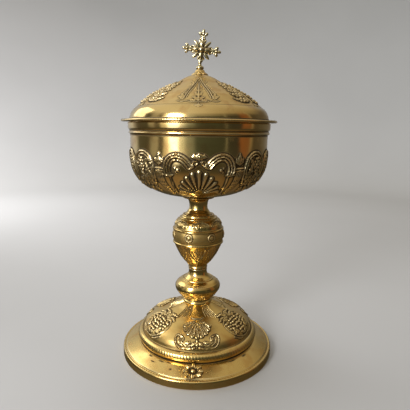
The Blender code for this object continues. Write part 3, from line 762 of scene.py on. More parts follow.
@dataclass(frozen=True)
class Gilding:
    """Worn gilding over chased metal.

    Attributes:
        name: The name of the finish.
        gold: The colour of the sound gilding.
        pale: Its colour where it is rubbed.
        warm: Its colour where it has gone coppery.
        patina_and_shade: The colour in the recesses and stains, which is both patina and painted shade.
        roughness: How rough the sound gilding is.
        grime_and_shade: How much of that colour the recesses hold, as grime and as painted shade.
    """

    name: str
    gold: tuple[float, float, float]
    pale: tuple[float, float, float]
    warm: tuple[float, float, float]
    patina_and_shade: tuple[float, float, float]
    roughness: float
    grime_and_shade: float

    def material(self) -> bpy.types.Material:
        """The finish as a material."""
        made = bpy.data.materials.new(self.name)
        made.use_nodes = True
        graph = Graph(made.node_tree)
        hollow, crest, stain, matt = (
            graph.add("ShaderNodeAttribute", {"attribute_name": name}, None, "Fac")
            for name in ("hollow", "crest", "stain", "matt")
        )
        clouds = graph.noise(28, 3)
        blotches = graph.noise(95, 4)
        grain = graph.noise(900, 2)
        turning = graph.noise(1.0, 2, graph.stretched(20, 2600))
        scratches = graph.noise(1.0, 2, graph.stretched(500, 900)).between(0.62, 0.72)
        worn = (crest * (0.55 + 0.6 * blotches)).between(0.1, 0.85)
        rubbed = (worn * 0.75 + clouds.between(0.5, 0.78) * 0.35).between(0.0, 1.0)
        coppery = (1 - worn) * blotches.between(0.46, 0.68) * 0.7
        speckle = grain.between(0.55, 0.72) * blotches.between(0.45, 0.62)
        # The recesses, the stains and a fine speckle darken to the patina colour. This is patina and dirt,
        # and also painted shade in the recesses and round some parts.
        dirt_and_shade = (hollow * self.grime_and_shade + stain + speckle * 0.12 * (1 - worn)).between(0.08, 0.9)
        colour = graph.mix(rubbed, (*self.gold, 1), (*self.pale, 1))
        colour = graph.mix(coppery, colour, (*self.warm, 1))
        colour = graph.mix(dirt_and_shade, colour, (*self.patina_and_shade, 1))
        rough = self.roughness + 0.07 * clouds.between(0.45, 0.75) + 0.06 * blotches.between(0.48, 0.7)
        rough = rough - 0.03 * worn + 0.4 * dirt_and_shade + 0.04 * scratches + 0.2 * matt
        surface = clouds * 0.7 + blotches * 0.07 + grain * 0.008 + turning * 0.006 - scratches * 0.01
        bump = graph.add("ShaderNodeBump", None, {"Strength": 0.6, "Distance": 0.0005, "Height": surface})
        shader = graph.add("ShaderNodeBsdfPrincipled", None, {
            "Base Color": colour, "Metallic": 1 - 0.45 * dirt_and_shade, "Roughness": rough, "Normal": bump})
        graph.add("ShaderNodeOutputMaterial", None, {"Surface": shader})
        return made


# The fourth colour of each finish is the dark colour of patina, and it also serves as painted shade.
GILT = Gilding("gilt", (0.82, 0.59, 0.22), (0.92, 0.73, 0.39), (0.72, 0.45, 0.15), (0.060, 0.034, 0.010),
               0.16, 1.2)
WORN_GILT = Gilding("worn_gilt", (0.79, 0.58, 0.25), (0.92, 0.75, 0.45), (0.66, 0.42, 0.17),
                    (0.066, 0.044, 0.019), 0.12, 1.3)
PALE_GILT = Gilding("pale_gilt", (0.70, 0.61, 0.38), (0.92, 0.86, 0.68), (0.44, 0.33, 0.17),
                    (0.025, 0.021, 0.013), 0.2, 1.7)


# Pieces


@dataclass
class Turned:
    """A turned piece of the ciborium.

    Attributes:
        node: The solid that it stands for.
        slot: The record's name for its finish; not used.
        steps: How many columns go round.
        spacing: The distance between two rows, in millimetres.
    """

    node: str
    slot: str
    steps: int
    spacing: float = 0.5

    def section(self) -> Section:
        """Its cut."""
        raise NotImplementedError

    def chasing(self, section: Section) -> Chasing:
        """The work on its outer face."""
        raise NotImplementedError

    def build(self, finish: bpy.types.Material) -> bpy.types.Object:
        """Spins, embosses and dresses the piece.

        Args:
            finish: Its material.

        Returns:
            The finished piece.
        """
        section = self.section()
        piece = spun(f"chased_{self.node}", section, self.steps)
        emboss(piece, section, self.chasing(section))
        return dress(piece, self.node, finish)


def dress(piece: bpy.types.Object, node: str, finish: bpy.types.Material) -> bpy.types.Object:
    """Gives a piece its finish and its place in the frame.

    Args:
        piece: The modelled piece.
        node: The solid that it stands for.
        finish: Its material.

    Returns:
        The piece.
    """
    select([piece])
    bpy.ops.object.shade_smooth_by_angle(angle=math.radians(50))
    piece.data.materials.clear()
    piece.data.materials.append(finish)
    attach(piece, "root")
    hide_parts(node)
    triangles = len(piece.data.loops) - 2 * len(piece.data.polygons)
    log.info("%s: %d triangles", piece.name, triangles)
    return piece


def marks(section: Section, stations: np.ndarray, steps: int,
          spots: Sequence[tuple[float, float, float, float]]) -> np.ndarray:
    """Small dark marks and nicks in the gilding, and a patch of painted shade where one is listed.

    Args:
        section: The cut of the piece.
        stations: How far along the section each row is, in millimetres.
        steps: How many columns go round.
        spots: The angle in degrees, the station, half the length and half the height of each.

    Returns:
        How dark each outer row is at each column, from 0 to 1.
    """
    angle = (math.tau * np.arange(steps) / steps + math.pi) % math.tau - math.pi
    radii = section.outside[:, 0]
    found = np.zeros((len(stations), steps))
    for degrees, station, long, high in spots:
        across = radii[:, None] * (angle - math.radians(degrees)) / long
        away = np.hypot(across, (stations[:, None] - station) / high)
        found = np.maximum(found, np.clip(1.3 - away, 0, 1))
    return found


@dataclass
class Foot(Turned):
    """The hollow foot: an upright band, a smooth slope, a corded step and a chased dome."""

    radius: float = 72.6
    neck: float = 12.9
    top: float = 47.6
    wall: float = 1.2
    relief_height: float = 1.3

    def section(self) -> Section:
        """Its cut."""
        band = curve([(self.radius - 0.3, 0), (self.radius, 0.4), (self.radius, 5.4)], 1.3, False)
        bead = curve([(72.6, 5.6), (72.5, 6.5), (71.9, 7.25), (71.1, 7.3), (70.6, 6.9), (70.1, 7.0),
                      (69.7, 7.5)], 0.45)
        slope = curve([(69.4, 8.1), (66, 9.7), (62, 11.5), (58.5, 13.0), (56.2, 13.7), (55.7, 13.9)], 1.0)
        step = curve([(55.8, 14.4), (57.0, 15.8), (57.6, 18.2), (57.3, 20.2), (56.2, 21.9),
                      (54.7, 22.7)], 0.5)
        groove = curve([(53.6, 22.6), (52.9, 23.2), (52.7, 24.2)], 0.5)
        dome = curve([(52.6, 24.7), (52.1, 26.7), (50.2, 29.8), (46, 33.2), (40, 36.6), (33, 39.3),
                      (26.5, 41.6), (21, 43.7), (17.4, 45.5), (14.6, 46.9), (self.neck, self.top)],
                     self.spacing)
        under = [(self.neck - self.wall, self.top), (17.0, 44.2), (26.0, 40.4), (40.0, 35.3), (50.5, 27.5),
                 (51.4, 23.4), (54.2, 13.6), (68.0, 6.9), (self.radius - self.wall, 4.8),
                 (self.radius - self.wall, 0.0)]
        return Section(joined(band, bead, slope, step, groove, dome), np.array(under), Gap.NOWHERE)

    def front(self) -> list[Form]:
        """A hanging shell over two scrolls, under a smooth panel between ribs."""
        side: list[Form] = [
            Thread(((2.2, 10.6), (8.0, 9.0), (14.4, 9.3), (18.9, 12.4), (19.8, 17.2), (17.4, 20.6),
                    (13.9, 19.8)), 1.6, 1.0, 0.7),
            Thread(((5.0, 13.0), (9.4, 11.6), (13.8, 12.0), (16.6, 14.6), (16.6, 17.4)), 1.0, 0.8, 0.4),
            Thread(((8.4, 11.6), (14.0, 14.6), (12.4, 17.8)), 0.8, 0.6, 0.3),
            Thread(volute(13.6, 17.2, 2.3, 60, 1.1), 1.1, 0.8, 0.6),
            Leaf((1.0, 15.0), (5.2, 11.2), 2.8, 2, 0.5, 0.8),
            Leaf((5.8, 15.6), (11.4, 14.2), 2.6, 2, -0.6, 0.6),
            Thread(((0.0, 39.9), (3.6, 40.2), (6.0, 41.4)), 1.0, 0.5, 0.6),
        ]
        for rib in range(6):
            ends = ((4.6 + 0.9 * rib, 57.0), (5.6 + 1.6 * rib, 49.0), (8.0 + 2.6 * rib, 42.4 - 0.8 * rib))
            side.append(Thread(ends, 1.0, 0.3, 0.5))
        shell = fan(39.4, (21.4, 20.8, 19.8, 18.2, 16.0), 13.0, -1, Profile.OUTLINED, 0.86)
        tie: list[Form] = [
            Leaf((0, 16.6), (0, 9.2), 2.8, 2, 0.0, 0.9), Bead(0, 12.8, 1.35, 1.1), Bead(0, 16.2, 1.0, 0.9)]
        return both(side) + shell + tie

    def cluster(self) -> list[Form]:
        """Grapes among leaves and ears, in a thin oval frame."""
        made: list[Form] = [
            Thread(arc(0, 22.0, 16.4, 12.0, 90, 270), 1.0, 0, 0.4),
            *bunch(-2.0, 29.6, (3, 4, 4, 3, 2), 1.3, 1.0, 2.5),
            *bunch(-11.0, 27.4, (2, 2, 2), 1.3, 0.9, 2.5),
            Leaf((-4.6, 31.4), (-10.8, 31.8), 3.8, 3, -0.8, 0.8),
            Leaf((-6.4, 18.4), (-12.2, 15.8), 3.8, 3, 0.8, 0.85),
            Leaf((-4.8, 14.6), (0.0, 11.8), 3.2, 3, 0.6, 0.75),
            Leaf((-1.2, 34.4), (-5.8, 40.6), 3.8, 3, -0.7, 0.75),
            Thread(((-3.4, 33.4), (-8.4, 35.2), (-13.2, 32.6)), 2.8, 1.8, 0.7, Profile.REEDED, 3),
            Thread(((-16.2, 13.6), (-9.0, 9.8), (0.0, 9.2)), 1.2, 1.2, 0.6),
            Bead(0, 37.4, 1.9, 0.8, 0.35),
        ]
        for blade in range(3):
            made.append(Leaf((-8.0, 19.0 + blade), (-13.6 + blade, 14.6 + 3.6 * blade), 2.2, 2, 0.4, 0.8))
        for pearl in range(4):
            made.append(Bead(-9.6 + 2.4 * pearl, 38.6 + 0.3 * pearl, 1.0, 0.85))
        return made

    def chasing(self, section: Section) -> Chasing:
        """The work on its outer face."""
        radii, rise = section.outside[:, 0], section.outside[:, 1]
        stations = section.stations(24.7, 8.7, 52.6)
        motifs = [(0.0, self.front()), (math.pi / SHARES, self.cluster())]
        dome = Band(motifs, SHARES, self.relief_height, 8.8, 58.0, math.radians(1.0))
        found = dome.heights(stations, radii, self.steps)
        found += rope(section.stations(18.2, 0.0, 57.6), self.steps, 1.2, 2.6, 128, 0.3)
        found += rope(section.stations(6.9, 0.0, 70.6), self.steps, 0.3, 0.8, 160, 0.24)
        found += hand_work(stations, self.steps, 0.13, 3) * (rise > 7.5)[:, None]
        slope = section.stations(13.9, 0.0, 55.7)
        # The last spot is painted shade: a dark patch on the slope round and under the rosette.
        stain = marks(section, slope, self.steps, [
            (-44, -3.4, 3.0, 0.9), (-31, -3.6, 4.2, 0.9), (-24, -3.0, 3.2, 0.8), (33, -3.0, 5.4, 0.9),
            (-20, -8.6, 1.6, 1.0), (47, -3.4, 4.0, 0.9), (-38, -7.0, 3.0, 0.8), (120, -4.2, 4.2, 0.9),
            (171, -5.4, 3.4, 0.9), (-140, -6.0, 4.0, 0.9), (-1.9, -8.9, 8.6, 7.0)])
        # Painted shade on the slope at the foot of the corded step, and a darker upright band at the bottom.
        on_slope = ((rise > 7.4) & (rise < 13.9))[:, None]
        torus_shade_and_dark_band = 0.45 * np.clip(1 + slope / 2.4, 0, 1)[:, None] * on_slope + 0.3 * (rise < 5.5)[:, None]
        matt = np.where(stations > 9.5, 0.7, 0.4)[:, None]
        return Chasing(found, np.maximum(stain, torus_shade_and_dark_band), matt)


@dataclass
class LowerKnop(Turned):
    """A collar, a hollow moulding with a row of leaves, and a flattened bulb that narrows to the stem."""

    low: float = 47.9
    top: float = 82.0

    def section(self) -> Section:
        """Its cut."""
        collar = curve([(0, self.low), (13.5, self.low)], 3.0, False)
        lip = curve([(13.7, 48.1), (14.3, 49.1), (13.9, 50.3), (13.0, 51.3), (13.0, 52.2)], 0.4)
        under = curve([(13.9, 52.9), (14.9, 54.0), (16.4, 55.9), (18.2, 57.6)], 0.4)
        bulb = curve([(18.7, 58.2), (20.9, 61.0), (21.8, 64.3), (21.0, 67.1), (18.3, 70.0),
                      (15.3, 71.5)], 0.45)
        ring = curve([(15.1, 71.7), (14.9, 72.3), (14.2, 72.6), (13.7, 72.4)], 0.3)
        neck = curve([(13.2, 72.7), (10.6, 74.9), (9.2, 77.0), (8.7, 79.0), (8.8, 81.0), (8.9, 81.6)], 0.5)
        top = curve([(8.6, self.top), (0, self.top)], 3.0, False)
        return Section(joined(collar, lip, under, bulb, ring, neck, top), np.empty((0, 2)), Gap.BELOW)

    def chasing(self, section: Section) -> Chasing:
        """The work on its outer face."""
        stations = section.stations(52.9, 0.0, 13.9)
        leaf: list[Form] = [Leaf((0, 6.6), (0, 0.2), 5.6, 2, 0.0, 1.0), Bead(0, 7.2, 0.8, 0.8)]
        between: list[Form] = [Thread(((0, 0.8), (0, 4.8)), 1.0, 0.6, 0.6)]
        row = Band([(0.0, leaf), (math.pi / 16, between)], 16, 0.55, -0.2, 8.2)
        found = row.heights(stations, section.outside[:, 0], self.steps)
        found += hand_work(stations, self.steps, 0.05, 8)
        upper = section.stations(67.1, 0.0, 21.0)
        found += 0.18 * np.exp(-(((upper - 1.4) / 0.5) ** 2))[:, None]
        return Chasing(found)


@dataclass
class Knop(Turned):
    """The egg-shaped knop: long leaves below, a belt of ringed bosses, and a ringed top."""

    low: float = 82.3
    top: float = 137.6
    turn: float = math.radians(6.0)
    leaf_turn: float = math.radians(-2.0)

    def section(self) -> Section:
        """Its cut."""
        foot = curve([(0, self.low), (8.4, self.low)], 3.0, False)
        stub = curve([(8.7, 82.6), (9.3, 83.6), (8.9, 84.7), (9.0, 85.4)], 0.35)
        egg = curve([(9.3, 86.2), (13.0, 90.4), (16.5, 95.4), (19.0, 100.5), (21.2, 105.2),
                     (22.4, 107.4)], 0.45)
        low_ring = curve([(22.8, 107.8), (23.9, 108.5), (23.9, 109.5), (23.3, 110.1)], 0.3)
        belt = curve([(23.3, 110.6), (23.9, 113.8), (24.0, 117.6), (23.6, 120.6)], 0.5)
        high_ring = curve([(23.6, 121.1), (24.2, 121.7), (24.0, 122.7), (23.1, 123.2)], 0.3)
        shoulder = curve([(22.7, 123.9), (21.8, 127.3), (19.8, 130.1), (18.2, 131.4)], 0.45)
        rings = curve([(17.9, 131.6), (17.9, 132.5), (17.1, 133.0), (16.2, 132.9), (15.4, 133.7),
                       (15.1, 134.7), (14.7, 135.3), (13.9, 135.4), (13.2, 135.2)], 0.3)
        crown = curve([(12.6, 135.7), (11.2, 137.0), (10.8, self.top), (0, self.top)], 1.6, False)
        parts = joined(foot, stub, egg, low_ring, belt, high_ring, shoulder, rings, crown)
        return Section(parts, np.empty((0, 2)), Gap.BELOW)

    def chasing(self, section: Section) -> Chasing:
        """The work on its outer face."""
        radii = section.outside[:, 0]
        belt = section.stations(117.0, 0.0, 24.0)
        ring, inner_ring = Bead(0, 0, 3.9, 0.85, 0.62), Bead(-0.2, 0, 2.7, 0.5, 0.5)
        boss: list[Form] = [ring, Bead(0, 0, 1.9, 1.15), inner_ring]
        bosses = Band([(0.0, boss)], BOSSES, 0.9, -6.4, 4.6, self.turn + math.pi / BOSSES)
        leaf: list[Form] = [
            Thread(((0.0, 7.0), (2.2, 10.4), (5.0, 14.6), (7.4, 19.6), (7.8, 23.6)), 1.0, 1.3, 0.9),
            Thread(((0.6, 1.0), (0.0, 6.4)), 1.2, 1.0, 0.8),
            Thread(((0.4, 11.5), (2.8, 15.6), (4.6, 20.6)), 0.7, 0.8, 0.5),
            Thread(((0.0, 14.0), (0.0, 23.8)), 0.8, 0.9, 0.6),
            Thread(((0.3, 16.0), (2.2, 20.6)), 0.6, 0.6, 0.4),
        ]
        side: list[Form] = [Leaf((0.0, 2.0), (0.0, 23.5), 6.4, 5, 0.0, 0.4)]
        motifs = [(0.0, both(leaf)), (math.pi / BOSSES, side)]
        blades = Band(motifs, BOSSES, 0.7, 0.4, 25.5, self.leaf_turn)
        leaves = section.stations(86.2, 0.0, 9.3)
        ribbon: list[Form] = [
            Thread(arc(0, -0.4, 8.6, 6.2, 12, 90), 1.1, 1.1, 0.9),
            Thread(arc(0, -0.6, 6.6, 4.6, 8, 90), 0.8, 0.8, 0.6),
            Leaf((0.4, -1.6), (4.4, 1.6), 2.4, 2, 0.3, 0.8),
            Leaf((0.3, -0.8), (1.9, 3.4), 1.9, 2, 0.0, 0.8),
        ]
        top = section.stations(126.0, 0.0, 22.2)
        swags = Band([(0.0, both(ribbon))], BOSSES, 0.55, -2.8, 6.8, self.turn)
        found = bosses.heights(belt, radii, self.steps)
        on_belt = (np.abs(belt + 0.6) < 5.4)[:, None]
        found += 0.07 * np.cos(belt * math.tau / 1.25)[:, None] * on_belt * (found < 0.1)
        found += blades.heights(leaves, radii, self.steps) + swags.heights(top, radii, self.steps)
        found += hand_work(belt, self.steps, 0.06, 5)
        return Chasing(found, 0.0, 1.3 * on_belt + 0.3 * (leaves < 25)[:, None])


@dataclass
class UpperNeck(Turned):
    """The short stem under the cup and the thin disc that the cup stands on."""

    low: float = 137.9
    top: float = 152.7

    def section(self) -> Section:
        """Its cut."""
        stem = curve([(0, self.low), (10.4, self.low)], 3.0, False)
        rise = curve([(10.6, 138.2), (9.5, 139.5), (8.8, 141.2), (8.6, 143.8), (9.0, 147.0), (10.0, 149.2),
                      (12.6, 150.6)], 0.5)
        disc = curve([(13.6, 150.8), (14.7, 151.1), (15.0, 151.6), (14.6, 152.1), (14.2, 152.4)], 0.25)
        cap = curve([(13.6, self.top), (0, self.top)], 3.0, False)
        return Section(joined(stem, rise, disc, cap), np.empty((0, 2)), Gap.BELOW)

    def chasing(self, section: Section) -> Chasing:
        """The work on its outer face."""
        found = hand_work(section.stations(143.8, 0.0, 8.6), self.steps, 0.04, 12)
        return Chasing(found)


@dataclass
class Cup(Turned):
    """The hollow cup: a plain wall over a chased bowl, smooth inside."""

    radius: float = 62.0
    low: float = 153.0
    wall_low: float = 195.0
    top: float = 219.6
    depth: float = 42.0
    wall: float = 1.1
    relief_height: float = 1.25
    turn: float = math.radians(1.3)

    def section(self) -> Section:
        """Its cut."""
        start = math.radians(8)
        round_bowl = bowl(self.radius, self.depth, self.wall_low, start, self.spacing)
        bottom = curve([(0, self.low), (round_bowl[0, 0] - 0.8, self.low)], 3.0, False)
        plain_low = (self.radius, self.wall_low + 4.4)
        climb = curve([(self.radius, self.wall_low), plain_low], self.spacing, False)
        plain = curve([plain_low, (self.radius, 208.8)], 1.6, False)
        rim = curve([(62.1, 209.3), (63.2, 209.9), (63.6, 210.7), (63.1, 211.6), (62.6, 212.3), (63.0, 213.0),
                     (63.8, 213.9), (64.1, 216.0), (64.2, 218.3), (63.9, 219.2), (63.0, self.top)], 0.5)
        inner = self.radius - self.wall
        inside = bowl(inner, self.depth - self.wall, self.wall_low, math.radians(11.5), 4.5)[::-1]
        wall = curve([(inner, self.top), (inner, self.wall_low + 4)], 6.0, False)
        lining = joined(wall, inside, np.array([(0.0, inside[-1, 1] - 0.1)]))
        return Section(joined(bottom, round_bowl, climb, plain, rim), lining, Gap.BELOW)

    def shell(self) -> list[Form]:
        """A shell under two volutes and a flower, between two arches of three threads."""
        outer = ((5.2, 73.4), (8.4, 77.9), (13.4, 81.9), (18.9, 83.2), (24.3, 81.4), (27.9, 77.0),
                 (29.0, 71.0), (27.6, 66.4))
        middle = ((6.8, 73.0), (10.0, 76.8), (14.2, 80.0), (18.9, 81.0), (23.1, 79.6), (25.8, 75.8),
                  (26.5, 71.0), (25.2, 66.4))
        inner = ((9.2, 72.6), (12.2, 76.0), (15.4, 78.2), (18.9, 78.8), (21.8, 77.6), (23.6, 74.6),
                 (24.0, 70.6), (22.8, 66.0))
        side: list[Form] = [
            Thread(outer, 1.9, 1.9),
            Thread(middle, 1.5, 1.5, 0.9),
            Thread(inner, 1.7, 1.5),
            Thread(volute(3.0, 76.0, 2.5, -60, 1.25), 1.3, 1.0, 1.1),
            Thread(((4.4, 73.6), (8.2, 71.6), (10.6, 73.8)), 1.6, 1.0, 0.9),
            Leaf((1.4, 80.6), (6.6, 80.8), 3.2, 2, 0.8, 0.95),
            Leaf((1.6, 79.0), (4.6, 83.4), 2.4, 2, 0.0, 0.8),
            Bead(17.2, 70.6, 1.3, 0.9),
            Bead(19.4, 72.0, 1.0, 0.8),
            Bead(18.8, 69.0, 0.9, 0.7),
            Thread(((23.6, 66.0), (22.2, 60.0), (19.6, 52.0), (17.6, 46.0)), 1.3, 1.2, 0.8),
            Thread(((21.4, 66.4), (25.0, 65.8), (29.6, 66.6)), 1.3, 1.3, 0.9),
        ]
        flower: list[Form] = [Bead(1.7 * math.sin(turn), 81.4 + 1.7 * math.cos(turn), 1.15, 0.9)
                              for turn in np.arange(6) * math.tau / 6]
        ribs = fan(45.0, (25.6, 24.4, 23.0, 21.2, 19.2, 17.0), 14.0, 1, Profile.ROUND, 0.58)
        return both(side) + flower + [Bead(0, 81.4, 1.0, 1.2)] + ribs

    def strap(self) -> list[Form]:
        """A reeded strap with a ledge and a bud over it."""
        return [
            Thread(((1.6, 67.0), (0.6, 60.0), (-1.8, 49.0), (-2.6, 44.0)), 7.6, 4.8, 0.85, Profile.REEDED, 5),
            Thread(((-4.2, 71.6), (4.6, 71.8)), 1.2, 1.2, 0.8),
            Thread(((-3.8, 69.6), (4.4, 69.8)), 1.2, 1.2, 0.8),
            Leaf((0.4, 74.0), (0.4, 84.6), 4.2, 2, 0.0, 1.0),
            Leaf((-0.4, 75.0), (-3.4, 80.6), 2.6, 2, 0.6, 0.9),
            Leaf((1.2, 75.0), (4.2, 80.6), 2.6, 2, -0.6, 0.9),
        ]

    def vine(self) -> list[Form]:
        """A round-headed frame with grapes and a bound sheaf, and leaves that hang below it."""
        frame = ((-9.6, 58.0), (-12.0, 66.0), (-12.0, 74.0), (-9.2, 80.4), (-3.6, 84.0), (0.6, 84.6),
                 (4.8, 83.8), (9.8, 80.2), (12.2, 74.0), (12.2, 66.0))
        inner = tuple((x * 0.8, 73.0 + (y - 73.0) * 0.8) for x, y in frame)
        return [
            Thread(frame, 1.9, 1.9),
            Thread(inner, 1.3, 1.3, 0.8),
            *bunch(3.0, 79.0, (2, 3, 4, 3, 2, 1), 1.35, 1.05),
            Thread(((-7.4, 64.6), (-4.6, 69.2), (-3.0, 74.6)), 5.4, 3.6, 0.95, Profile.REEDED, 4),
            Thread(((-7.2, 70.6), (-4.4, 69.0), (-1.8, 68.8)), 1.2, 1.2, 1.1),
            Leaf((-2.0, 76.0), (-6.6, 79.6), 3.2, 2, 0.6, 0.8),
            Leaf((-1.6, 65.6), (-8.8, 54.0), 6.6, 4, 1.0, 0.95),
            Leaf((2.0, 65.8), (3.4, 52.6), 6.4, 4, -0.6, 0.95),
            Leaf((-5.4, 53.6), (-6.0, 44.6), 5.0, 3, 0.6, 0.8),
            Leaf((1.8, 52.6), (4.4, 44.0), 5.0, 3, 0.0, 0.75),
            Bead(-3.2, 56.4, 1.7, 0.95),
            Bead(-0.6, 52.4, 1.5, 0.95),
            Bead(7.6, 60.6, 1.7, 0.9),
            Bead(8.2, 55.4, 1.4, 0.9),
            Bead(-9.2, 62.4, 1.3, 0.9),
        ]

    def chasing(self, section: Section) -> Chasing:
        """The work on its outer face."""
        stations = section.stations(self.wall_low, 83.3, self.radius)
        strap, vine = math.radians(31), math.radians(48.3)
        motifs = [(0.0, self.shell()), (strap, self.strap()), (vine, self.vine())]
        band = Band(motifs, SHARES, self.relief_height, 39.5, 87.6, self.turn)
        found = band.heights(stations, section.outside[:, 0], self.steps)
        found += hand_work(stations, self.steps, 0.11, 21) * (section.outside[:, 0] > 16)[:, None]
        wall = section.stations(209.3, 0.0, 62.1)
        found -= 0.12 * np.exp(-(((wall + 0.9) / 0.35) ** 2))[:, None]
        # Painted shade: the bottom of the bowl, where it sits on the stem, is darkened.
        under = 0.7 * np.clip((17.5 - section.outside[:, 0]) / 3, 0, 1)[:, None]
        return Chasing(found, under, 0.9 * (found > 0.15))


@dataclass
class Lid(Turned):
    """The hollow lid: a flange, an inner rim that sits in the cup, and a chased dome with a leafy tip."""

    flange: float = 69.9
    low: float = 219.9
    top: float = 265.4
    seat_radius: float = 60.4
    seat_depth: float = 5.0
    relief_height: float = 1.2

    def section(self) -> Section:
        """Its cut."""
        edge = curve([(69.3, self.low), (self.flange, 220.4), (self.flange, 221.3), (69.3, 221.9)], 0.4)
        shelf = curve([(68.6, 222.0), (66.4, 221.7), (64.2, 221.7), (63.2, 222.0)], 0.9)
        dome = curve([(62.5, 222.5), (62.2, 224.2), (61.3, 227.0), (59.2, 230.4), (55.2, 233.6),
                      (51.3, 236.3), (47.2, 239.5), (43.2, 242.6), (38.6, 245.1), (34.6, 247.2),
                      (29.9, 249.5), (25.2, 251.8), (20.8, 254.1), (16.4, 256.8), (12.5, 258.9),
                      (9.4, 260.1), (7.7, 260.6)], self.spacing)
        tip = curve([(7.5, 260.9), (7.4, 261.4), (6.6, 262.3), (5.3, 263.2), (4.4, 264.2), (4.0, 265.0)], 0.3)
        cap = curve([(3.6, self.top), (0, self.top)], 1.5, False)
        seat, wall = self.seat_radius, 1.1
        under = [(0, 258.8), (9.0, 258.6), (15.8, 255.2), (29.4, 248.2), (42.4, 241.5), (50.4, 235.3),
                 (57.2, 230.2), (60.6, 226.4), (seat - wall, self.low),
                 (seat - wall, self.low - self.seat_depth), (seat, self.low - self.seat_depth),
                 (seat, self.low)]
        return Section(joined(edge, shelf, dome, tip, cap), np.array(under), Gap.ABOVE)

    def front(self) -> list[Form]:
        """A tall panel under the cross, with a stem, leaves and thin ribs, and a small flower below it."""
        side: list[Form] = [
            Thread(((0.6, 59.0), (4.8, 43.0), (8.8, 29.5), (12.0, 19.8)), 0.9, 1.2, 0.6),
            Thread(((0.3, 54.0), (3.2, 42.0), (6.9, 30.0), (9.8, 21.2)), 0.8, 0.9, 0.42),
            Thread(((1.9, 52.0), (6.4, 41.0), (11.2, 30.0), (14.6, 22.4)), 0.7, 0.8, 0.35),
            Thread(((10.4, 16.8), (5.4, 15.2), (0.0, 15.0)), 1.0, 1.0, 0.55),
            Thread(((17.2, 17.6), (13.6, 15.4), (10.2, 17.0)), 0.9, 0.9, 0.5),
            Leaf((0.8, 18.4), (5.6, 22.8), 2.8, 3, 0.6, 0.6),
            Leaf((1.0, 17.8), (8.4, 18.2), 2.8, 3, -0.5, 0.6),
            Leaf((0.5, 23.4), (3.6, 29.4), 2.4, 3, 0.3, 0.5),
            Leaf((0.5, 30.0), (2.8, 36.0), 2.0, 3, 0.2, 0.4),
            Leaf((12.4, 18.8), (16.8, 23.8), 3.0, 3, 0.5, 0.65),
            Leaf((11.8, 20.4), (13.4, 28.4), 2.6, 3, -0.3, 0.55),
            Leaf((0.3, 9.0), (3.9, 11.9), 2.2, 2, 0.3, 0.6),
            Leaf((4.4, 47.0), (6.6, 54.6), 2.2, 2, 0.0, 0.45),
        ]
        middle: list[Form] = [
            Thread(((0, 19.6), (0, 34.0), (0, 50.0)), 1.4, 0.8, 0.7),
            Leaf((0, 8.4), (0, 14.0), 2.2, 2, 0.0, 0.7),
            Bead(0, 17.6, 1.2, 0.8),
        ]
        return both(side) + middle

    def cluster(self) -> list[Form]:
        """A long cluster of leaves and fruit, which stands out the most."""
        made: list[Form] = []
        for row in range(5):
            up, reach = 17.0 + 6.3 * row, 10.0 - 1.4 * row
            made += both([
                Leaf((0.9, up), (reach, up + 4.6), 4.3 - 0.3 * row, 3, 0.8, 1.3),
                Bead(1.9, up + 4.2, 1.5 - 0.1 * row, 1.4),
            ])
            made.append(Bead(0.0, up + 1.2, 1.7 - 0.1 * row, 1.5))
        made.append(Leaf((0, 47.5), (0, 54.0), 3.2, 2, 0.0, 1.0))
        return made

    def between(self) -> list[Form]:
        """A plain rib with a leaf, half way between two fronts."""
        rib = Thread(((0.0, 18.0), (0.0, 44.0)), 1.2, 0.8, 0.8)
        return both([rib, Leaf((0.0, 16.0), (3.0, 11.6), 2.6, 2)])

    def chasing(self, section: Section) -> Chasing:
        """The work on its outer face."""
        radii = section.outside[:, 0]
        stations = section.stations(223.2, 0.0, 62.4)
        panels = [(0.0, self.front()), (math.pi / SHARES, self.between())]
        low = Band(panels, SHARES, 0.7 * self.relief_height, 8.0, 64.0)
        clusters = [(math.radians(46.5), self.cluster())]
        high = Band(clusters, SHARES, self.relief_height, 8.0, 64.0)
        found = low.heights(stations, radii, self.steps) + high.heights(stations, radii, self.steps)
        found += hand_work(stations, self.steps, 0.12, 33) * (radii > 8)[:, None]
        line = (found < 0.15) * 0.16 * np.exp(-(((stations - 12.4) / 0.4) ** 2))[:, None]
        found -= line
        angle = math.tau * np.arange(self.steps) / self.steps
        leafy = np.abs(np.cos(4 * angle)) ** 0.6 - 1
        rise = section.outside[:, 1]
        tip = np.exp(-(((rise - 261.2) / 1.2) ** 2)) * (radii < 7.65) * (rise > 260.7)
        found += 1.3 * tip[:, None] * leafy[None, :]
        rim = section.stations(220.9, 0.0, self.flange)
        found += 0.16 * (np.abs(np.cos(96 * angle)) - 1)[None, :] * (np.abs(rim) < 0.8)[:, None]
        matt = np.clip((stations - 12.0) / 2.0, 0, 1)[:, None]
        return Chasing(found, 0.10 * matt, matt)


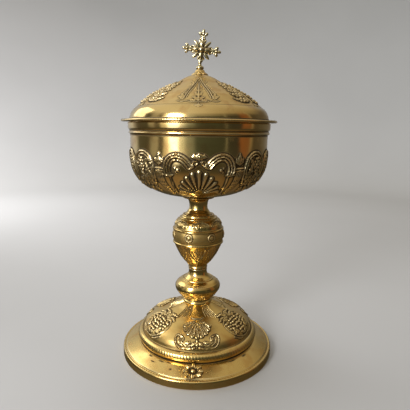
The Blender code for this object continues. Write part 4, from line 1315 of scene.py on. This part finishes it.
@dataclass
class Cast:
    """A small cast piece, fused from simple forms and filed smooth.

    Attributes:
        node: The solid that it stands for.
        slot: The record's name for its finish; not used.
        voxel: The size of its smallest detail, in millimetres.
    """

    node: str
    slot: str
    voxel: float = 0.22

    def lobe(self, place: Vector, size: Vector, turn: float = 0.0) -> bpy.types.Object:
        """A rounded lump.

        Args:
            place: Its centre, in millimetres.
            size: Its half length along X, Y and Z, in millimetres.
            turn: How far it is turned about Y, from Z towards X.

        Returns:
            The lump.
        """
        deselect()
        bpy.ops.mesh.primitive_uv_sphere_add(segments=20, ring_count=12, radius=1.0)
        made = bpy.context.object
        where = Matrix.Translation(place * MM) @ Matrix.Rotation(turn, 4, "Y")
        made.data.transform(where @ Matrix.Diagonal((*(size * MM), 1)))
        return made

    def fused(self, name: str, lumps: Sequence[bpy.types.Object]) -> bpy.types.Object:
        """Joins the lumps into one skin.

        Args:
            name: The name of the piece.
            lumps: The forms it is made of, which overlap.

        Returns:
            The piece.
        """
        select(lumps)
        bpy.ops.object.join()
        made = bpy.context.object
        made.name = made.data.name = name
        skin = made.modifiers.new("skin", "REMESH")
        skin.mode = "VOXEL"
        skin.voxel_size = self.voxel * MM
        file = made.modifiers.new("file", "SMOOTH")
        file.factor = 0.5
        file.iterations = 2
        bpy.ops.object.modifier_apply(modifier="skin")
        bpy.ops.object.modifier_apply(modifier="file")
        return made

    def shade(self, piece: bpy.types.Object, passes: int, strength: float) -> None:
        """Keeps where a cast piece is sunk and raised, from how its surface bends.

        Args:
            piece: The modelled piece.
            passes: How often the surface is smoothed before the two are compared.
            strength: How strongly the difference shows.
        """
        mesh = piece.data
        places = coordinates(piece)
        normals = np.empty(len(places) * 3)
        mesh.vertices.foreach_get("normal", normals)
        normals = normals.reshape(-1, 3)
        ends = np.empty(len(mesh.edges) * 2, int)
        mesh.edges.foreach_get("vertices", ends)
        first, second = ends.reshape(-1, 2).T
        soft = places.copy()
        for _ in range(passes):
            total = np.zeros_like(soft)
            np.add.at(total, first, soft[second])
            np.add.at(total, second, soft[first])
            count = np.bincount(first, minlength=len(soft)) + np.bincount(second, minlength=len(soft))
            soft = (soft + total / np.maximum(count, 1)[:, None]) / 2
        sunk = ((soft - places) * normals).sum(axis=1) / MM
        # The finish darkens the sunk places: patina in the crevices and painted shade.
        store(piece, "hollow", np.clip(sunk * strength, 0, 1))
        store(piece, "crest", np.clip(-sunk * strength * 0.6, 0, 1))
        store(piece, "stain", np.zeros(len(places)))
        store(piece, "matt", np.full(len(places), 0.2))


@dataclass
class Cross(Cast):
    """The small knob, its neck and the cross that leans a little to one side.

    Attributes:
        centre: The height of its centre, in millimetres.
        ray: How long the four rays between them are.
        lean: How far it leans to the right.
        pivot: The height about which it leans.
    """

    centre: float = 282.6
    ray: float = 10.6
    lean: float = math.radians(6.5)
    pivot: float = 270.45

    def arm_lumps(self, turn: float) -> list[bpy.types.Object]:
        """A stalk with two curled leaves and a trefoil at its end.

        Args:
            turn: The arm's direction, from up towards +X.

        Returns:
            The forms of the arm, about the cross's centre.
        """
        way = Vector((math.sin(turn), 0, math.cos(turn)))
        side = Vector((math.cos(turn), 0, -math.sin(turn)))
        made = [self.lobe(way * 8.0, Vector((1.25, 1.1, 6.6)), turn)]
        for hand in (-1, 1):
            for along, aside, size, splay in (
                    (6.4, 1.9, (1.15, 1.15, 2.5), 0.5), (9.6, 1.4, (0.95, 1.0, 1.5), -0.6),
                    (13.2, 2.6, (1.45, 1.3, 1.9), 0.8), (11.4, 1.5, (0.95, 0.95, 1.1), 0.0)):
                place = way * along + side * hand * aside
                made.append(self.lobe(place, Vector(size), turn + hand * splay))
        made.append(self.lobe(way * 15.2, Vector((1.4, 1.3, 2.15)), turn))
        made.append(self.lobe(way * 13.0 - Vector((0, 0.9, 0)), Vector((1.1, 1.1, 1.1)), turn))
        return made

    def build(self, finish: bpy.types.Material) -> bpy.types.Object:
        """Models and dresses the piece."""
        lumps: list[bpy.types.Object] = []
        for quarter in (0, 1, 3):
            lumps += self.arm_lumps(quarter * math.pi / 2)
        for step in range(8):
            turn = math.tau * step / 8
            way = Vector((math.sin(turn), 0, math.cos(turn)))
            if step % 2:
                size = Vector((1.6, 1.2, self.ray * 0.46))
                lumps.append(self.lobe(way * self.ray * 0.54, size, turn))
            else:
                lumps.append(self.lobe(way * 4.4 - Vector((0, 0.8, 0)), Vector((2.1, 1.3, 3.2)), turn))
        lumps.append(self.lobe(Vector((0, 0, 0)), Vector((3.5, 1.2, 3.5))))
        lumps.append(self.lobe(Vector((0, -1.6, 0)), Vector((2.6, 1.9, 2.6))))
        lumps.append(self.lobe(Vector((0, 1.3, 0)), Vector((1.8, 1.4, 1.8))))
        lumps.append(self.lobe(Vector((0, 0, -6.4)), Vector((1.35, 1.1, 6.2))))
        for hand in (-1, 1):
            lumps.append(self.lobe(Vector((hand * 1.9, 0, -6.4)), Vector((1.1, 1.05, 2.3)), -hand * 0.6))
            lumps.append(self.lobe(Vector((hand * 1.2, 0, -9.2)), Vector((0.95, 1.0, 1.4)), hand * 0.5))
        lean = Matrix.Translation((0, 0, self.pivot * MM)) @ Matrix.Rotation(self.lean, 4, "Y")
        place = lean @ Matrix.Translation((0, 0, (self.centre - self.pivot) * MM))
        for lump in lumps:
            lump.data.transform(place)
        lumps.append(self.baluster())
        piece = self.fused("cast_cross", lumps)
        self.shade(piece, 16, 9.0)
        return dress(piece, self.node, finish)

    def baluster(self) -> bpy.types.Object:
        """The small turned knob and the neck under the cross."""
        outline = curve([(0, 265.7), (2.6, 265.7), (3.3, 266.3), (3.6, 267.3), (3.0, 268.5),
                         (1.7, 269.3), (1.35, 270.0), (1.3, 270.9), (1.7, 271.6), (1.5, 272.6),
                         (1.3, 273.6), (0, 273.8)], 0.4)
        outline[0, 0] = outline[-1, 0] = 0.0
        return spun("baluster", Section(np.maximum(outline, 0), np.empty((0, 2)), Gap.BELOW), 64)


@dataclass
class Rosette(Cast):
    """The cast flower on the foot's slope.

    Attributes:
        half_width: Half its width, in millimetres.
        half_depth: Half its depth.
        blank: The radius of the disc that it is cut from.
        radius: How far its centre is from the axis.
        height: The height of its back's centre.
        fall: The angle of the slope.
        turn: Its angle round the axis.
    """

    half_width: float = 9.4
    half_depth: float = 7.0
    blank: float = 10.0
    radius: float = 63.4
    height: float = 11.2
    fall: float = math.radians(23)
    turn: float = math.radians(-1.9)

    def build(self, finish: bpy.types.Material) -> bpy.types.Object:
        """Models and dresses the piece."""
        rows = np.linspace(0, 1, 40)
        top = np.column_stack([rows[::-1] * self.blank, np.full(40, 0.9)])
        under = np.array([(0, 0.0), (self.blank / 2, 0.0), (self.blank - 0.4, 0.0), (self.blank, 0.2)])
        section = Section(joined(under, top), np.empty((0, 2)), Gap.BELOW)
        piece = spun("cast_rosette", section, 256)
        places = coordinates(piece) / MM
        reach = np.hypot(places[:, 0], places[:, 1]) / self.blank
        angle = np.arctan2(places[:, 0], places[:, 1])
        half = math.pi / 8
        local = np.abs((angle + half) % (2 * half) - half) / half
        edge = 1 - 0.17 * local**1.6
        second = np.abs(angle % (2 * half) - half) / half
        narrow = 0.12 + 0.72 * np.sqrt(np.clip(1 - (np.maximum(reach - 0.5, 0) / 0.54) ** 2, 0, 1))
        start = 0.36 + 0.16 * (1 - local)
        petal = np.clip(1 - (local / narrow) ** 2, 0, 1) ** 0.5 * np.clip((reach - start) / 0.12, 0, 1)
        vein = np.exp(-((local * reach / 0.08) ** 2))
        behind = np.clip(1 - (second / 0.4) ** 2, 0, 1) * np.clip((reach - 0.6) / 0.1, 0, 1)
        pearl = np.sqrt(np.clip(1 - (reach / 0.25) ** 2, 0, 1))
        rise = 0.25 + np.maximum(1.5 * petal * (1 - 0.35 * vein), 0.5 * behind)
        rise = np.maximum(rise, 0.25 + 1.65 * pearl)
        upper = places[:, 2] > 0.5
        places[:, 0] *= edge * self.half_width / self.blank
        places[:, 1] *= edge * self.half_depth / self.blank
        places[upper, 2] = rise[upper] * np.clip((1 - reach[upper]) / 0.05, 0.4, 1)
        tilt = Matrix.Rotation(self.fall, 4, "X")
        around = Matrix.Rotation(self.turn, 4, "Z")
        move_vertices(piece, places * MM)
        place = around @ Matrix.Translation((0, -self.radius * MM, self.height * MM)) @ tilt
        piece.data.transform(place)
        # The low places between the petals, round the pearl and at the rim are darkened: patina and painted
        # shade.
        store(piece, "hollow", np.clip(1.25 - rise / 0.8, 0, 1) * (upper | (reach > 0.5)))
        store(piece, "crest", np.clip((rise - 0.9) / 0.8, 0, 1))
        store(piece, "stain", np.zeros(len(places)))
        store(piece, "matt", np.full(len(places), 0.3))
        return dress(piece, self.node, finish)


# Studio


@dataclass
class Studio:
    """A pale floor and backdrop, soft lamps, and a room for the metal to mirror.

    Attributes:
        floor_size: The length of the floor's side.
        backdrop_distance: How far from the axis it begins to turn up.
        backdrop_curve: How steeply it turns up.
        floor_colour: The colour of the paper.
    """

    floor_size: float = 6.0
    backdrop_distance: float = 1.1
    backdrop_curve: float = 1.4
    floor_colour: tuple[float, float, float] = (0.50, 0.51, 0.54)

    def build(self) -> None:
        """Makes the whole studio."""
        self.floor()
        aim, wall = (0, 0, 0.15), (-0.25, 1.6, 0.5)
        self.lamp("key", (-0.62, -0.80, 0.60), aim, 0.34, 7.0, True)
        self.lamp("fill", (-1.0, 0.45, 0.75), aim, 0.7, 2.6, True)
        self.lamp("overhead", (-0.15, 0.30, 1.4), aim, 0.7, 5.0, False)
        self.lamp("backdrop", (-0.9, 0.45, 0.55), wall, 0.6, 11.0, False)
        self.room()
        bpy.context.scene.view_settings.view_transform = "Standard"

    def floor(self) -> None:
        """A floor that turns up into a backdrop all round, far from the piece."""
        deselect()
        bpy.ops.mesh.primitive_plane_add(size=self.floor_size, location=(0, 0, 0))
        floor = bpy.context.object
        floor.name = "floor"
        made = bpy.data.materials.new("paper")
        made.use_nodes = True
        graph = Graph(made.node_tree)
        tone = graph.noise(2.0, 3).between(0.3, 0.8)
        darker = tuple(part * 0.93 for part in self.floor_colour)
        colour = graph.mix(tone, (*self.floor_colour, 1), (*darker, 1))
        shader = graph.add("ShaderNodeBsdfPrincipled", None, {"Base Color": colour, "Roughness": 0.7})
        graph.add("ShaderNodeOutputMaterial", None, {"Surface": shader})
        floor.data.materials.append(made)
        bpy.ops.object.mode_set(mode="EDIT")
        bpy.ops.mesh.subdivide(number_cuts=90)
        bpy.ops.object.mode_set(mode="OBJECT")
        places = coordinates(floor)
        beyond = np.clip(np.hypot(places[:, 0], places[:, 1]) - self.backdrop_distance, 0, None)
        places[:, 2] = beyond**2 * self.backdrop_curve
        move_vertices(floor, places)
        bpy.ops.object.shade_smooth()
        floor.visible_glossy = floor.visible_diffuse = False

    def lamp(self, name: str, place: tuple[float, float, float], aim: tuple[float, float, float],
             size: float, power: float, mirrored: bool) -> None:
        """A soft square lamp.

        Args:
            name: The name of the lamp.
            place: Where it hangs, in metres.
            aim: The point that it faces, in metres.
            size: The length of its side, in metres.
            power: How strong it is, in watts.
            mirrored: Whether the metal mirrors it.
        """
        data = bpy.data.lights.new(name, "AREA")
        data.size = size
        data.energy = power
        data.color = (1.0, 0.98, 0.95)
        lamp = bpy.data.objects.new(name, data)
        bpy.context.scene.collection.objects.link(lamp)
        lamp.location = place
        lamp.rotation_euler = (Vector(aim) - Vector(place)).to_track_quat("-Z", "Y").to_euler()
        lamp.visible_glossy = mirrored

    def room(self) -> None:
        """The room that the metal mirrors: light on the left, dim and warm on the right."""
        world = bpy.data.worlds.new("studio")
        bpy.context.scene.world = world
        world.use_nodes = True
        graph = Graph(world.node_tree)
        way = graph.add("ShaderNodeTexCoord", output="Generated")
        split = graph.tree.nodes.new("ShaderNodeSeparateXYZ")
        graph.tree.links.new(way.socket, split.inputs[0])
        x, y, z = (Signal(graph, split.outputs[index]) for index in range(3))
        azimuth = graph.maths("ARCTAN2", x, -1 * y) / math.tau + 0.5
        stops = [(0.0, (0.33, 0.33, 0.34)), (0.15, (0.60, 0.62, 0.66)), (0.19, (0.10, 0.10, 0.08)),
                 (0.26, (0.08, 0.075, 0.055)), (0.275, (0.34, 0.33, 0.28)), (0.305, (0.42, 0.40, 0.34)),
                 (0.31, (0.10, 0.095, 0.07)), (0.335, (0.12, 0.11, 0.08)), (0.342, (0.9, 0.82, 0.60)),
                 (0.366, (1.1, 1.0, 0.74)), (0.374, (3.6, 3.7, 3.9)), (0.410, (3.8, 3.9, 4.1)),
                 (0.415, (0.42, 0.42, 0.34)), (0.421, (0.95, 0.95, 0.85)), (0.440, (0.66, 0.68, 0.58)),
                 (0.447, (0.30, 0.32, 0.28)), (0.474, (0.24, 0.26, 0.22)), (0.492, (0.075, 0.09, 0.068)),
                 (0.6, (0.05, 0.055, 0.04)), (0.615, (0.05, 0.055, 0.04)), (0.62, (0.34, 0.33, 0.26)),
                 (0.626, (0.045, 0.045, 0.035)), (0.69, (0.045, 0.042, 0.035)), (0.705, (0.24, 0.10, 0.04)),
                 (0.745, (0.19, 0.09, 0.04)), (0.75, (0.30, 0.24, 0.15)), (0.765, (0.07, 0.058, 0.04)),
                 (0.88, (0.13, 0.12, 0.10)), (1.0, (0.33, 0.33, 0.34))]
        around = graph.add("ShaderNodeValToRGB", {"stops": stops}, {0: azimuth}, 0)
        ceiling = graph.mix(x.between(-0.5, 0.8), (0.76, 0.72, 0.62, 1), (0.38, 0.32, 0.21, 1))
        above = graph.mix(z.between(0.3, 0.75), around, ceiling)
        dim = graph.mix((-1 * z).between(0.02, 0.35), above, (0.062, 0.056, 0.038, 1))
        table = graph.mix(x.between(-0.7, 0.6), (0.28, 0.20, 0.11, 1), (0.17, 0.115, 0.06, 1))
        whole = graph.mix((-1 * z).between(0.5, 0.85), dim, table)
        mirrored = graph.add("ShaderNodeBackground", None, {"Color": whole, "Strength": 1.0})
        seen = graph.add("ShaderNodeBackground", None, {"Color": (0.56, 0.58, 0.63, 1), "Strength": 1.0})
        ray = graph.add("ShaderNodeLightPath", output="Is Camera Ray")
        both_ways = graph.add("ShaderNodeMixShader", None, {0: ray, 1: mirrored, 2: seen})
        graph.add("ShaderNodeOutputWorld", None, {"Surface": both_ways})


@dataclass
class Camera:
    """The camera at the photograph's place.

    Attributes:
        place: Where it stands, in metres.
        pitch: How far it looks down.
        roll: How far it is turned about its own line of sight.
        focal: Its focal length on a sensor of 36 mm, in millimetres.
    """

    place: tuple[float, float, float] = (0.00616, -0.3712, 0.2145)
    pitch: float = math.radians(10.81)
    roll: float = math.radians(0.76)
    focal: float = 400 / 410 * 36

    def build(self) -> None:
        """Makes it the scene's camera."""
        data = bpy.data.cameras.new("camera")
        data.sensor_width = 36
        data.lens = self.focal
        data.clip_start = 0.01
        camera = bpy.data.objects.new("camera", data)
        bpy.context.scene.collection.objects.link(camera)
        turned = Matrix.Rotation(math.pi / 2 - self.pitch, 4, "X") @ Matrix.Rotation(self.roll, 4, "Z")
        camera.matrix_world = Matrix.Translation(self.place) @ turned
        bpy.context.scene.camera = camera


def main() -> None:
    """Builds the studio and every piece of the ciborium."""
    logging.basicConfig(level=logging.INFO, format="%(message)s")
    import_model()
    Camera().build()
    Studio().build()
    gilt, worn_gilt, pale_gilt = (finish.material() for finish in (GILT, WORN_GILT, PALE_GILT))
    Foot("foot", "gilt", 640, 0.6).build(gilt)
    Rosette("foot_rosette", "gilt").build(gilt)
    LowerKnop("lower_knop", "gilt", 288).build(gilt)
    Knop("knop", "gilt", 416).build(gilt)
    UpperNeck("upper_neck", "gilt", 192).build(gilt)
    Cup("cup", "worn_gilt", 512, 0.62).build(worn_gilt)
    Lid("lid", "worn_gilt", 576, 0.6).build(worn_gilt)
    Cross("cross_finial", "pale_gilt").build(pale_gilt)


if __name__ == "__main__":
    main()
